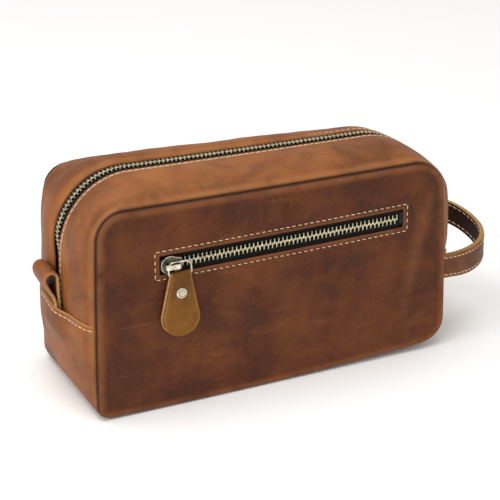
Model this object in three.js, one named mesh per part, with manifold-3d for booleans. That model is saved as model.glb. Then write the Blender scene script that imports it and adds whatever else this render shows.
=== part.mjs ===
// A zipped leather shaving kit bag: a soft brick of two panels and a crowned gusset, with a zip over
// the top and down both ends, a zipped pocket in the front, a loop handle and a zip-end tab.
// Millimetres. X runs along the bag, -Y is the front, +Z is up, and the base rests on z = 0.
import * as THREE from "three";
import { LoftGeometry } from "three/addons/geometries/LoftGeometry.js";
import { mergeVertices } from "three/addons/utils/BufferGeometryUtils.js";
import Module from "manifold-3d";

const wasm = await Module();
wasm.setup();

// ---------- Driving dimensions ----------
const LENGTH = 260;
const DEPTH = 110;
const HEIGHT = 150;
const LEATHER = 2;
const CLOTH = 0.8; // lining and zip tape
const GAP = 0.3; // between pieces that touch

// The seam outline of the panels, and how far the gusset swells beyond it along the zip.
const SEAM_RADIUS = 24;
const BASE_RADIUS = 14;
const END_BULGE = 9;
const TOP_BULGE = 8;
const CROWN_RADIUS = 50;
const JOIN_Z = 62; // the base gusset's top edge, where the zip gusset starts
const LIP_X = 85; // half the stretch of gusset that folds open

// The zip chain: two rows of teeth on two tapes, between the folded edges of the gusset.
const ZIP_HALF_SLOT = 7.5;
const TAPE_HALF = 14.3;
const TAPE_EDGE = 0.8;
const TOOTH_PITCH = 3.15;
const TOOTH_RISE = 2.4;
const TOOTH_TIP = 0.15;
const TOOTH_ROOT = 2.5;
const CHAIN_HALF = 3.65;

// The pocket zip in the front panel.
const WINDOW = { left: -87, right: 97, low: 100.2, high: 113.8 };
const POCKET_Z = (WINDOW.low + WINDOW.high) / 2;
const POCKET_TAPE = { left: -92, right: 102, low: POCKET_Z - 15, high: POCKET_Z + 15 };
const POCKET_BOTTOM = 15;
const POCKET_ROOM = 4.8; // between the two sheets of the pocket
const POCKET_SEAM = 3; // where the pocket's front sheet is sewn to the lower tape

// The sliders, their rings and their leather pulls. Heights are measured out from the zip tape.
const SLIDER = {
  length: 14.5,
  nose: 6.3,
  tail: 5.3,
  low: 0.3,
  roof: 3.1,
  top: 4.5,
  shoulder: 2.2,
  chamfer: 0.8,
  taper: { from: -1, to: 2.5 },
};
const BRIDGE = { half: 5.5, leg: 1.2, width: 2.5, under: 7.9, top: 9, bevel: 1.5, sunk: 0.5 };
const LEG_CENTRE = BRIDGE.half - BRIDGE.leg / 2;
const RING = { half: 8.2, above: 2.3, below: 6.5, wire: 0.75, corner: 1.9, topRise: 6.05, barRise: 7.2 };
const PULL = { topHalf: 7.25, wideHalf: 13.25, fold: 2.2, drop: 51, corner: 3, hole: 1.1, lean: 11 };
const RIVET = { drop: 19.5, head: 4, shaft: 1.4, rise: 1.1 };
const POCKET_SLIDER_X = -79.3;
const MAIN_SLIDER_Z = 76;

// The handle: a flat loop that stands out from the two seams at the right end.
const STRAP_WIDTH = 19;
const STRAP_LEATHER = 1.6;
const HANDLE_ROOT = LENGTH / 2 + 1;
const HANDLE_REACH = 62;
const HANDLE_HALF = 49;
const HANDLE_Z = 61.5;
const HANDLE_SAG = 0.15; // drop for each millimetre out
const HANDLE_PIVOT_X = 147.5;
const ROOT_OUT = 1.4; // from the panels to the strap's roots
const ROOT_SLIT = 2; // between the roots and the round ends of the loop

// The tab: a short strip folded into a loop over the zip's left end.
const TAB = { front: -12, width: 26, radius: 5.6, root: 63, top: 95.5, slit: 0.4, sewn: 10 };
const TAB_OFF = 1.2; // how far it stands out from the zip
const TAB_FACE = -(LENGTH / 2 + END_BULGE + TAB_OFF);

const SEAM_Y = DEPTH / 2;
const EDGE_Y = SEAM_Y - LEATHER - GAP; // the gusset's edges, just inside the panels
const UNDER = LEATHER + GAP; // depth of the layer beneath the leather

// ---------- Materials ----------
const leatherFront = new THREE.MeshStandardMaterial({ color: 0x6b3a22, roughness: 0.55, metalness: 0 });
const leatherBody = new THREE.MeshStandardMaterial({ color: 0x9c6238, roughness: 0.6, metalness: 0 });
const leatherStrap = new THREE.MeshStandardMaterial({ color: 0x7c4a2a, roughness: 0.6, metalness: 0 });
const leatherDark = new THREE.MeshStandardMaterial({ color: 0x2e1c16, roughness: 0.7, metalness: 0 });
const leatherPull = new THREE.MeshStandardMaterial({ color: 0x8c5c24, roughness: 0.55, metalness: 0 });
const liningCloth = new THREE.MeshStandardMaterial({ color: 0x4a3a2c, roughness: 0.9, metalness: 0 });
const tapeCloth = new THREE.MeshStandardMaterial({ color: 0x1e1712, roughness: 0.95, metalness: 0 });
const toothMetal = new THREE.MeshStandardMaterial({ color: 0xc8c0a0, roughness: 0.35, metalness: 1 });
const sliderMetal = new THREE.MeshStandardMaterial({ color: 0x6a665c, roughness: 0.35, metalness: 1 });
const rivetMetal = new THREE.MeshStandardMaterial({ color: 0xb8b098, roughness: 0.4, metalness: 1 });

// ---------- Solids ----------
function manifoldFrom(vertProperties, triVerts) {
  return new wasm.Manifold(new wasm.Mesh({ numProp: 3, vertProperties, triVerts }));
}

// A closed geometry as a manifold solid, turned outwards if its faces point in.
function solid(geometry) {
  const bare = new THREE.BufferGeometry();
  bare.setAttribute("position", geometry.getAttribute("position"));
  bare.setIndex(geometry.getIndex());
  const merged = mergeVertices(bare, 1e-4);
  const corners = new Uint32Array(merged.index.array);
  const made = manifoldFrom(merged.attributes.position.array, corners);
  if (made.volume() > 0) return made;
  for (let i = 0; i < corners.length; i += 3) {
    const second = corners[i + 1];
    corners[i + 1] = corners[i + 2];
    corners[i + 2] = second;
  }
  return manifoldFrom(merged.attributes.position.array, corners);
}

function geometryOf(made) {
  const mesh = made.getMesh();
  const geometry = new THREE.BufferGeometry();
  geometry.setAttribute("position", new THREE.BufferAttribute(mesh.vertProperties, 3));
  geometry.setIndex(new THREE.BufferAttribute(mesh.triVerts, 1));
  geometry.computeVertexNormals();
  return geometry;
}

function node(name, made, material) {
  const mesh = new THREE.Mesh(geometryOf(made), material);
  mesh.name = name;
  return mesh;
}

// A shape drawn in X and Z, extruded from yFront backwards.
function plate(shape, yFront, thickness, curveSegments = 6) {
  const geometry = new THREE.ExtrudeGeometry(shape, { depth: thickness, bevelEnabled: false, curveSegments });
  geometry.rotateX(Math.PI / 2);
  geometry.translate(0, yFront + thickness, 0);
  return solid(geometry);
}

// A shape drawn in Y and Z, extruded along X about x = 0.
function barAlongX(shape, length, curveSegments = 6) {
  const geometry = new THREE.ExtrudeGeometry(shape, { depth: length, bevelEnabled: false, curveSegments });
  geometry.rotateY(Math.PI / 2);
  geometry.rotateX(Math.PI / 2);
  geometry.translate(-length / 2, 0, 0);
  return solid(geometry);
}

function box(low, high) {
  const size = high.map((value, axis) => value - low[axis]);
  const geometry = new THREE.BoxGeometry(...size);
  geometry.translate(...low.map((value, axis) => value + size[axis] / 2));
  return solid(geometry);
}

// Twice a closed section's area, as a vector square to it.
function areaVector(corners) {
  const sum = new THREE.Vector3();
  corners.forEach((corner, i) => {
    sum.add(new THREE.Vector3().crossVectors(corner, corners[(i + 1) % corners.length]));
  });
  return sum;
}

// A solid through sections, whose corners are put in the order that faces its walls outwards.
function loft(sections) {
  const ahead = new THREE.Vector3();
  sections[0].forEach((corner, i) => ahead.add(sections[1][i]).sub(corner));
  const backwards = areaVector(sections[0]).dot(ahead) < 0;
  const ordered = backwards ? sections.map((corners) => [...corners].reverse()) : sections;
  return solid(new LoftGeometry(ordered, { capStart: true, capEnd: true }));
}

const mix = THREE.MathUtils.lerp;

function evenly(from, to, steps) {
  return Array.from({ length: steps + 1 }, (_, i) => mix(from, to, i / steps));
}

// ---------- The gusset's surface ----------
// How far the gusset has swelled at depth y: 0 at the seams, 1 along the zip.
const swell = (y) => 1 - (y / EDGE_Y) ** 2;

const CROWN_REACH = LENGTH / 2 + END_BULGE;
const CROWN_TOP = HEIGHT + TOP_BULGE;
const CORNER_START = CROWN_REACH - CROWN_RADIUS;
const ARC_RUN = (CROWN_RADIUS * Math.PI) / 2;
const CORNER_END = CORNER_START + ARC_RUN;
const ZIP_END = CORNER_END + CROWN_TOP - CROWN_RADIUS - JOIN_Z;

// A point of the zip gusset, `inset` below its surface. u is the distance along the zip from the
// middle of the top, negative to the left, so one formula carries strips, tapes, teeth and lining.
function zipPoint(u, y, inset) {
  const along = Math.abs(u);
  const swelled = swell(y);
  const reach = LENGTH / 2 + END_BULGE * swelled;
  const top = HEIGHT + TOP_BULGE * swelled;
  const radius = mix(SEAM_RADIUS, CROWN_RADIUS, swelled);
  let x = along;
  let z = top;
  let lean = Math.PI / 2;
  if (along > LIP_X) {
    x = mix(LIP_X, reach - radius, Math.min(1, (along - LIP_X) / (CORNER_START - LIP_X)));
  }
  if (along > CORNER_START) {
    lean = (Math.PI / 2) * Math.max(0, 1 - (along - CORNER_START) / ARC_RUN);
    x = reach - radius + radius * Math.cos(lean);
    z = top - radius + radius * Math.sin(lean);
  }
  if (along > CORNER_END) {
    z = mix(top - radius, JOIN_Z, (along - CORNER_END) / (ZIP_END - CORNER_END));
  }
  x -= inset * Math.cos(lean);
  z -= inset * Math.sin(lean);
  return new THREE.Vector3(Math.sign(u) * x, y, z);
}

// A point of the base gusset: v runs from the middle of the bottom, up the ends to the zip gusset.
const FLAT_RUN = LENGTH / 2 - BASE_RADIUS;
const BASE_ARC = (BASE_RADIUS * Math.PI) / 2;
const BASE_END = FLAT_RUN + BASE_ARC + JOIN_Z - BASE_RADIUS;

function basePoint(v, y, inset) {
  const along = Math.abs(v);
  const lean = (Math.PI / 2) * THREE.MathUtils.clamp(1 - (along - FLAT_RUN) / BASE_ARC, 0, 1);
  const rise = Math.max(0, along - FLAT_RUN - BASE_ARC);
  const z = BASE_RADIUS * (1 - Math.sin(lean)) + rise;
  const bulge = (END_BULGE * swell(y) * z) / JOIN_Z;
  const x = Math.min(along, FLAT_RUN) + BASE_RADIUS * Math.cos(lean) + bulge;
  const inward = inset * Math.cos(lean);
  return new THREE.Vector3(Math.sign(v) * (x - inward), y, z + inset * Math.sin(lean));
}

// The cross-section of a layer at one place: along its outer face, then back along its inner face.
function section(point, along, yFrom, yTo, outer, inner, stations) {
  const across = evenly(yFrom, yTo, stations);
  const out = across.map((y) => point(along, y, outer));
  const back = across.reverse().map((y) => point(along, y, inner));
  return [...out, ...back];
}

const CORNER_STOPS = [LIP_X + GAP / 2, ...evenly(CORNER_START, CORNER_END, 9), ZIP_END - 20, ZIP_END - GAP];

function cornerLayer(side, yFrom, yTo, outer, thickness, stations) {
  return loft(
    CORNER_STOPS.map((u) => section(zipPoint, side * u, yFrom, yTo, outer, outer + thickness, stations)),
  );
}

function lipLayer(yFrom, yTo, outer, thickness, stations) {
  const half = LIP_X - GAP / 2;
  return loft(
    [-half, half].map((u) => section(zipPoint, u, yFrom, yTo, outer, outer + thickness, stations)),
  );
}

function baseLayer(yHalf, outer, thickness, stations) {
  const arcEnd = FLAT_RUN + BASE_ARC;
  const bends = [...evenly(FLAT_RUN, arcEnd, 4), ...evenly(arcEnd, BASE_END, 5).slice(1)];
  const stops = [...bends.map((v) => -v).reverse(), ...bends];
  return loft(stops.map((v) => section(basePoint, v, -yHalf, yHalf, outer, outer + thickness, stations)));
}

// ---------- Panels ----------
function roundedOutline(inset) {
  const half = LENGTH / 2 - inset;
  const low = inset;
  const high = HEIGHT - inset;
  const topR = SEAM_RADIUS - inset;
  const lowR = BASE_RADIUS - inset;
  const shape = new THREE.Shape();
  shape.moveTo(-half + lowR, low);
  shape.lineTo(half - lowR, low);
  shape.absarc(half - lowR, low + lowR, lowR, -Math.PI / 2, 0, false);
  shape.lineTo(half, high - topR);
  shape.absarc(half - topR, high - topR, topR, 0, Math.PI / 2, false);
  shape.lineTo(-half + topR, high);
  shape.absarc(-half + topR, high - topR, topR, Math.PI / 2, Math.PI, false);
  shape.lineTo(-half, low + lowR);
  shape.absarc(-half + lowR, low + lowR, lowR, Math.PI, 1.5 * Math.PI, false);
  return shape;
}

function rectangle({ left, right, low, high }) {
  const path = new THREE.Path();
  path.moveTo(left, low);
  path.lineTo(right, low);
  path.lineTo(right, high);
  path.lineTo(left, high);
  path.closePath();
  return path;
}

function makePanels() {
  const inner = UNDER + CLOTH + GAP;
  const front = roundedOutline(0);
  front.holes.push(rectangle(WINDOW));
  const frontLining = roundedOutline(inner);
  frontLining.holes.push(
    rectangle({
      left: POCKET_TAPE.left - GAP,
      right: POCKET_TAPE.right + GAP,
      low: POCKET_TAPE.low - GAP,
      high: POCKET_TAPE.high + GAP,
    }),
  );
  return [
    node("front_panel", plate(front, -SEAM_Y, LEATHER), leatherFront),
    node("back_panel", plate(roundedOutline(0), SEAM_Y - LEATHER, LEATHER), leatherBody),
    node("front_lining", plate(frontLining, -EDGE_Y, CLOTH), liningCloth),
    node("back_lining", plate(roundedOutline(inner), EDGE_Y - CLOTH, CLOTH), liningCloth),
  ];
}

function makeBase() {
  return [
    node("base_gusset", baseLayer(EDGE_Y, 0, LEATHER, 8), leatherBody),
    node("base_lining", baseLayer(EDGE_Y - CLOTH - GAP, UNDER, CLOTH, 8), liningCloth),
  ];
}

// ---------- The zip gusset and its zip ----------
function toothRow(point, from, to, face, outer) {
  const count = Math.floor(Math.abs(to - from) / TOOTH_PITCH);
  const rings = evenly(from, to, 2 * count).map((along, i) => {
    const tip = i % 2 === 0 ? TOOTH_ROOT : TOOTH_TIP;
    return section(point, along, face * tip, face * CHAIN_HALF, outer, outer + TOOTH_RISE, 1);
  });
  return loft(rings);
}

const TEETH_INSET = UNDER - GAP - TOOTH_RISE; // the teeth stand on the tape
const MAIN_STOP_LENGTH = 2.6;
const LEFT_TEETH_END = ZIP_END - GAP - MAIN_STOP_LENGTH - 1;
const RIGHT_TEETH_END = ZIP_END - (MAIN_SLIDER_Z - SLIDER.length / 2 - JOIN_Z) - MAIN_STOP_LENGTH;

function makeZipGusset() {
  const parts = [];
  for (const [face, faceName] of [[-1, "front"], [1, "back"]]) {
    const edge = face * EDGE_Y;
    const fold = face * ZIP_HALF_SLOT;
    const liningEdge = face * (EDGE_Y - CLOTH - GAP);
    const tapeEdge = face * TAPE_HALF;
    const tapeInner = face * TAPE_EDGE;
    const liningFold = face * (TAPE_HALF + GAP);
    for (const [side, sideName] of [[-1, "left"], [1, "right"]]) {
      const teethEnd = side < 0 ? LEFT_TEETH_END : RIGHT_TEETH_END;
      const teeth = toothRow(zipPoint, side * (LIP_X + GAP), side * teethEnd, face, TEETH_INSET);
      const place = `${faceName}_${sideName}`;
      parts.push(node(`zip_strip_${place}`, cornerLayer(side, fold, edge, 0, LEATHER, 4), leatherBody));
      const lining = cornerLayer(side, liningFold, liningEdge, UNDER, CLOTH, 3);
      parts.push(node(`strip_lining_${place}`, lining, liningCloth));
      const tape = cornerLayer(side, tapeInner, tapeEdge, UNDER, CLOTH, 1);
      parts.push(node(`zip_tape_${place}`, tape, tapeCloth));
      parts.push(node(`zip_teeth_${place}`, teeth, toothMetal));
    }
    const lipHalf = LIP_X - GAP / 2;
    const lipTeeth = toothRow(zipPoint, -lipHalf, lipHalf, face, TEETH_INSET);
    parts.push(node(`zip_strip_${faceName}_top`, lipLayer(fold, edge, 0, LEATHER, 6), leatherBody));
    const lipLining = lipLayer(liningFold, liningEdge, UNDER, CLOTH, 5);
    parts.push(node(`strip_lining_${faceName}_top`, lipLining, liningCloth));
    parts.push(node(`zip_tape_${faceName}_top`, lipLayer(tapeInner, tapeEdge, UNDER, CLOTH, 1), tapeCloth));
    parts.push(node(`zip_teeth_${faceName}_top`, lipTeeth, toothMetal));
  }
  return parts;
}

function makeMainStops() {
  const stop = (from, to, yFrom, yTo) =>
    loft([from, to].map((u) => section(zipPoint, u, yFrom, yTo, TEETH_INSET, UNDER - GAP, 1)));
  const start = LEFT_TEETH_END + GAP;
  const end = RIGHT_TEETH_END + GAP;
  const bottom = stop(-start, -start - MAIN_STOP_LENGTH, -CHAIN_HALF, CHAIN_HALF);
  const front = stop(end, end + MAIN_STOP_LENGTH - GAP, -CHAIN_HALF, -TOOTH_TIP);
  const back = stop(end, end + MAIN_STOP_LENGTH - GAP, TOOTH_TIP, CHAIN_HALF);
  return [
    node("main_bottom_stop", bottom, toothMetal),
    node("main_top_stop_front", front, toothMetal),
    node("main_top_stop_back", back, toothMetal),
  ];
}

// ---------- The front pocket ----------
// A point of the pocket zip: u along X, w up from the chain's middle, inset back from the teeth's tops.
const TEETH_FRONT = -EDGE_Y - GAP - TOOTH_RISE;
const pocketPoint = (u, w, inset) => new THREE.Vector3(u, TEETH_FRONT + inset, POCKET_Z + w);

function makePocketZip() {
  const { left, right, low, high } = POCKET_TAPE;
  const tape = (from, to) => box([left, -EDGE_Y, from], [right, -EDGE_Y + CLOTH, to]);
  const stopLength = 2.3;
  const stop = (from, wFrom, wTo) =>
    box(
      [from, TEETH_FRONT, POCKET_Z + wFrom],
      [from + stopLength, TEETH_FRONT + TOOTH_RISE, POCKET_Z + wTo],
    );
  const leftStop = WINDOW.left + 2 * GAP;
  const rightStop = WINDOW.right - GAP - stopLength;
  const teethFrom = leftStop + stopLength + GAP;
  const teethTo = rightStop - GAP;
  return [
    node("pocket_tape_lower", tape(low, POCKET_Z - TAPE_EDGE / 2), tapeCloth),
    node("pocket_tape_upper", tape(POCKET_Z + TAPE_EDGE / 2, high), tapeCloth),
    node("pocket_teeth_lower", toothRow(pocketPoint, teethFrom, teethTo, -1, 0), toothMetal),
    node("pocket_teeth_upper", toothRow(pocketPoint, teethFrom, teethTo, 1, 0), toothMetal),
    node("pocket_top_stop_lower", stop(leftStop, -CHAIN_HALF, -TOOTH_TIP), toothMetal),
    node("pocket_top_stop_upper", stop(leftStop, TOOTH_TIP, CHAIN_HALF), toothMetal),
    node("pocket_bottom_stop", stop(rightStop, -CHAIN_HALF, CHAIN_HALF), toothMetal),
  ];
}

// The pocket bag hangs behind the zip: two sheets, open to the zip along the top of the front one.
function makePocketBag() {
  const { left, right, high } = POCKET_TAPE;
  const front = -EDGE_Y + CLOTH + GAP;
  const back = front + POCKET_ROOM + 2 * CLOTH;
  const mouthLow = POCKET_TAPE.low + POCKET_SEAM;
  const outside = box([left, front, POCKET_BOTTOM], [right, back, high]);
  const room = box(
    [left + CLOTH, front + CLOTH, POCKET_BOTTOM + CLOTH],
    [right - CLOTH, back - CLOTH, high - CLOTH],
  );
  const mouth = box(
    [left + CLOTH, front - CLOTH, mouthLow],
    [right - CLOTH, front + 2 * CLOTH, high - CLOTH],
  );
  return node("pocket_bag", outside.subtract(room).subtract(mouth), liningCloth);
}

// ---------- Slider, ring and pull ----------
// The slider's frame: X along the zip towards the closed teeth, -Y out of the bag, the tape at y = 0.
function sliderSolid() {
  const half = SLIDER.length / 2;
  const { nose, tail, shoulder, chamfer, taper } = SLIDER;
  const outline = new THREE.Shape();
  outline.moveTo(-half, -nose + shoulder);
  outline.lineTo(-half + shoulder, -nose);
  outline.lineTo(taper.from, -nose);
  outline.lineTo(taper.to, -tail);
  outline.lineTo(half - chamfer, -tail);
  outline.lineTo(half, -tail + chamfer);
  outline.lineTo(half, tail - chamfer);
  outline.lineTo(half - chamfer, tail);
  outline.lineTo(taper.to, tail);
  outline.lineTo(taper.from, nose);
  outline.lineTo(-half + shoulder, nose);
  outline.lineTo(-half, nose - shoulder);
  outline.closePath();
  const shell = plate(outline, -SLIDER.top, SLIDER.top - SLIDER.low);
  const channelHalf = CHAIN_HALF + GAP;
  const channel = box([-SLIDER.length, -SLIDER.roof, -channelHalf], [SLIDER.length, 1, channelHalf]);
  return shell.subtract(channel).add(bridgeSolid());
}

// The bridge over the slider, that its ring hangs in.
function bridgeSolid() {
  const { half, leg, width, under, top, bevel, sunk } = BRIDGE;
  const foot = SLIDER.top - sunk;
  const arch = new THREE.Shape();
  arch.moveTo(-half, foot);
  arch.lineTo(-half, top - bevel);
  arch.lineTo(-half + bevel, top);
  arch.lineTo(half - bevel, top);
  arch.lineTo(half, top - bevel);
  arch.lineTo(half, foot);
  arch.lineTo(half - leg, foot);
  arch.lineTo(half - leg, under);
  arch.lineTo(-half + leg, under);
  arch.lineTo(-half + leg, foot);
  arch.closePath();
  const geometry = new THREE.ExtrudeGeometry(arch, { depth: width, bevelEnabled: false });
  geometry.translate(0, 0, -width / 2);
  geometry.scale(1, -1, 1);
  return solid(geometry);
}

// The ring's frame, and the pull's: the bridge's leg at the origin, -Y out of the bag, +Z up.
function ringSolid() {
  const { half, above, below, wire, corner, topRise, barRise } = RING;
  const rise = (z) => mix(topRise, barRise, (above - z) / (above + below));
  const middles = [
    [half - corner, above - corner, 0],
    [-half + corner, above - corner, 1],
    [-half + corner, -below + corner, 2],
    [half - corner, -below + corner, 3],
  ];
  const sections = [];
  for (const [x, z, quarter] of middles) {
    for (const angle of evenly((quarter * Math.PI) / 2, ((quarter + 1) * Math.PI) / 2, 4)) {
      const out = new THREE.Vector3(Math.cos(angle), 0, Math.sin(angle));
      const centre = new THREE.Vector3(x, 0, z).addScaledVector(out, corner);
      centre.y = -rise(centre.z);
      sections.push(
        evenly(0, 2 * Math.PI, 8)
          .slice(0, 8)
          .map((turn) => {
            const point = centre.clone().addScaledVector(out, wire * Math.cos(turn));
            point.y += wire * Math.sin(turn);
            return point;
          }),
      );
    }
  }
  sections.push(sections[0]);
  return solid(new LoftGeometry(sections));
}

function cylinderAlong(axis, radius, length, centre, sides = 16) {
  const geometry = new THREE.CylinderGeometry(radius, radius, length, sides);
  if (axis === "x") geometry.rotateZ(Math.PI / 2);
  geometry.translate(...centre);
  return solid(geometry);
}

// The leather pull: a teardrop folded over the ring's bar, its two leaves riveted together.
function pullSolid() {
  const { topHalf, wideHalf, fold, drop, corner, hole } = PULL;
  const top = -RING.below + fold;
  const lean = THREE.MathUtils.degToRad(PULL.lean);
  const leaf = new THREE.Shape();
  leaf.moveTo(topHalf, top - corner);
  leaf.absarc(topHalf - corner, top - corner, corner, 0, Math.PI / 2, false);
  leaf.absarc(-topHalf + corner, top - corner, corner, Math.PI / 2, Math.PI, false);
  leaf.absarc(0, -drop + wideHalf, wideHalf, Math.PI - lean, 2 * Math.PI + lean, false);
  leaf.closePath();
  const leaves = plate(leaf, -RING.barRise - fold, 2 * fold, 5);
  const side = new THREE.Shape();
  side.moveTo(-RING.barRise - fold, -drop - 1);
  side.lineTo(-RING.barRise + fold, -drop - 1);
  side.absarc(-RING.barRise, -RING.below, fold, 0, Math.PI, false);
  side.closePath();
  const profile = barAlongX(side, 4 * wideHalf, 5);
  const barHole = cylinderAlong("x", hole, 4 * wideHalf, [0, -RING.barRise, -RING.below], 12);
  const rivetHole = cylinderAlong("y", RIVET.shaft + GAP, 6 * fold, [0, -RING.barRise, -RIVET.drop], 12);
  return leaves.intersect(profile).subtract(barHole).subtract(rivetHole);
}

function rivetSolid() {
  const { head, shaft, rise } = RIVET;
  const face = PULL.fold + GAP;
  const profile = [
    [0, -face - rise],
    [head * 0.75, -face - rise],
    [head, -face - rise / 2],
    [head, -face],
    [shaft, -face],
    [shaft, face],
    [head, face],
    [head, face + rise / 2],
    [head * 0.75, face + rise],
    [0, face + rise],
  ];
  const geometry = new THREE.LatheGeometry(profile.map(([r, y]) => new THREE.Vector2(r, y)), 14);
  geometry.translate(0, -RING.barRise, -RIVET.drop);
  return solid(geometry);
}

function makePull(name, pivot, turn) {
  const group = new THREE.Group();
  group.position.copy(pivot);
  group.rotation.z = turn;
  group.add(
    node(`${name}_pull_ring`, ringSolid(), sliderMetal),
    node(`${name}_pull_leather`, pullSolid(), leatherPull),
    node(`${name}_pull_rivet`, rivetSolid(), rivetMetal),
  );
  return group;
}

// The pocket slider stands at the left end of its zip, and its ring hangs on the bridge's right leg.
function makePocketSlider() {
  const slider = node("pocket_slider", sliderSolid(), sliderMetal);
  slider.position.set(POCKET_SLIDER_X, -EDGE_Y, POCKET_Z);
  const pivot = new THREE.Vector3(POCKET_SLIDER_X + LEG_CENTRE, -EDGE_Y, POCKET_Z);
  return [slider, makePull("pocket", pivot, 0)];
}

// The main slider stands at the foot of the right end, and its ring hangs on the bridge's lower leg.
function makeMainSlider() {
  const tapeX = CROWN_REACH - UNDER;
  const slider = node("main_slider", sliderSolid(), sliderMetal);
  const along = new THREE.Vector3(0, 0, 1);
  const inward = new THREE.Vector3(-1, 0, 0);
  const across = new THREE.Vector3().crossVectors(along, inward);
  slider.setRotationFromMatrix(new THREE.Matrix4().makeBasis(along, inward, across));
  slider.position.set(tapeX, 0, MAIN_SLIDER_Z);
  const pivot = new THREE.Vector3(tapeX, 0, MAIN_SLIDER_Z - LEG_CENTRE);
  return [slider, makePull("main", pivot, Math.PI / 2)];
}

// ---------- Handle and tab ----------
// The strap's cross-section where its loop crosses depth y, between two offsets out from its middle.
function strapSection(y, from, to) {
  const share = y / HANDLE_HALF;
  const x = HANDLE_ROOT + HANDLE_REACH * (1 - share ** 2);
  const slope = (-2 * HANDLE_REACH * share) / HANDLE_HALF;
  const out = new THREE.Vector3(1, -slope, 0).normalize();
  const z = HANDLE_Z - HANDLE_SAG * (x - HANDLE_ROOT);
  const middle = new THREE.Vector3(x, y, z);
  const half = STRAP_WIDTH / 2;
  return [
    [to, -half],
    [to, half],
    [from, half],
    [from, -half],
  ].map(([offset, up]) => middle.clone().addScaledVector(out, offset).setZ(z + up));
}

function strap(from, to, steps, inner, outer) {
  return loft(evenly(from, to, steps).map((y) => strapSection(y, inner, outer)));
}

const depthWhereLoopIs = (x) => HANDLE_HALF * Math.sqrt(1 - (x - HANDLE_ROOT) / HANDLE_REACH);

function makeHandle() {
  const half = STRAP_WIDTH / 2;
  const pivotZ = HANDLE_Z - HANDLE_SAG * (HANDLE_PIVOT_X - HANDLE_ROOT);
  const clear = HANDLE_PIVOT_X - half;
  // Round ends about the pivot, so that the loop turns without cutting its own roots.
  const knuckle = cylinderAlong("y", half, 3 * HANDLE_HALF, [HANDLE_PIVOT_X, 0, pivotZ], 24);
  const beyond = box([HANDLE_PIVOT_X, -2 * HANDLE_HALF, 0], [2 * LENGTH, 2 * HANDLE_HALF, HEIGHT]);
  const keep = knuckle.add(beyond);
  const start = depthWhereLoopIs(clear - 1);
  const outer = strap(-start, start, 28, GAP / 2, STRAP_LEATHER).intersect(keep);
  const inner = strap(-start, start, 28, -STRAP_LEATHER, -GAP / 2).intersect(keep);
  const rootFrom = depthWhereLoopIs(HANDLE_ROOT + ROOT_OUT);
  const rootTo = depthWhereLoopIs(clear - ROOT_SLIT);
  const root = (face) => strap(face * rootFrom, face * rootTo, 1, -STRAP_LEATHER, STRAP_LEATHER);
  return [
    node("handle_outer", outer, leatherStrap),
    node("handle_inner", inner, leatherDark),
    node("handle_root_front", root(-1), leatherStrap),
    node("handle_root_back", root(1), leatherStrap),
  ];
}

function makeTab() {
  const { front, width, radius, root, top, slit, sewn } = TAB;
  const centreX = TAB_FACE - radius;
  const centreZ = top - radius;
  const neck = 2 * LEATHER + slit;
  const outline = new THREE.Shape();
  outline.moveTo(TAB_FACE, root);
  outline.lineTo(TAB_FACE, centreZ);
  outline.absarc(centreX, centreZ, radius, 0, Math.PI, false);
  outline.lineTo(TAB_FACE - neck, root);
  outline.closePath();
  const room = radius - LEATHER;
  const hollow = new THREE.Path();
  hollow.moveTo(centreX + room, centreZ);
  hollow.absarc(centreX, centreZ, room, 0, Math.PI, false);
  hollow.lineTo(TAB_FACE - LEATHER - slit, root + sewn);
  hollow.lineTo(TAB_FACE - LEATHER, root + sewn);
  hollow.closePath();
  outline.holes.push(hollow);
  return node("end_tab", plate(outline, front, width), leatherBody);
}

// ---------- The bag ----------
const bag = new THREE.Group();
bag.name = "shaving_kit_bag";
bag.add(
  ...makePanels(),
  ...makeBase(),
  ...makeZipGusset(),
  ...makeMainStops(),
  ...makePocketZip(),
  makePocketBag(),
  ...makePocketSlider(),
  ...makeMainSlider(),
  ...makeHandle(),
  makeTab(),
);

export default bag;
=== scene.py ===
import math

import bpy
import bmesh
import numpy as np
from mathutils import Matrix, Vector, noise


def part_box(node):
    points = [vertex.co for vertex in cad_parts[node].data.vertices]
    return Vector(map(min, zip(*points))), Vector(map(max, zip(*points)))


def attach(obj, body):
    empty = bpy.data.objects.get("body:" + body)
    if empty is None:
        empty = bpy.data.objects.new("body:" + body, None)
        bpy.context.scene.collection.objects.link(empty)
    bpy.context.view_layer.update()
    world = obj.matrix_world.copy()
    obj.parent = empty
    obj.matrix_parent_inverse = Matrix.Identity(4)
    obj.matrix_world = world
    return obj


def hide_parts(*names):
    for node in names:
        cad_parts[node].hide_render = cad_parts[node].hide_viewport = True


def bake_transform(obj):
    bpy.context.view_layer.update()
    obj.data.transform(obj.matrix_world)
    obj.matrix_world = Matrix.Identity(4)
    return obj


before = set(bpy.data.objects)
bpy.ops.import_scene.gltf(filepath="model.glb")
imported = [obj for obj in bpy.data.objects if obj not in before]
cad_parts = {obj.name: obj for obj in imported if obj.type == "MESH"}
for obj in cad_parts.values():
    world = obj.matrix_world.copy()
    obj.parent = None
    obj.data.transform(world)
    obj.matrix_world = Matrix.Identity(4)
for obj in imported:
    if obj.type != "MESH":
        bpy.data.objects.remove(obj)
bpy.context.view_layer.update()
MM = 0.001


def node_box(name):
    """A CAD node's lowest and highest corners in millimetres."""
    low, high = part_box(name)
    return np.array(low) / MM, np.array(high) / MM


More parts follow.
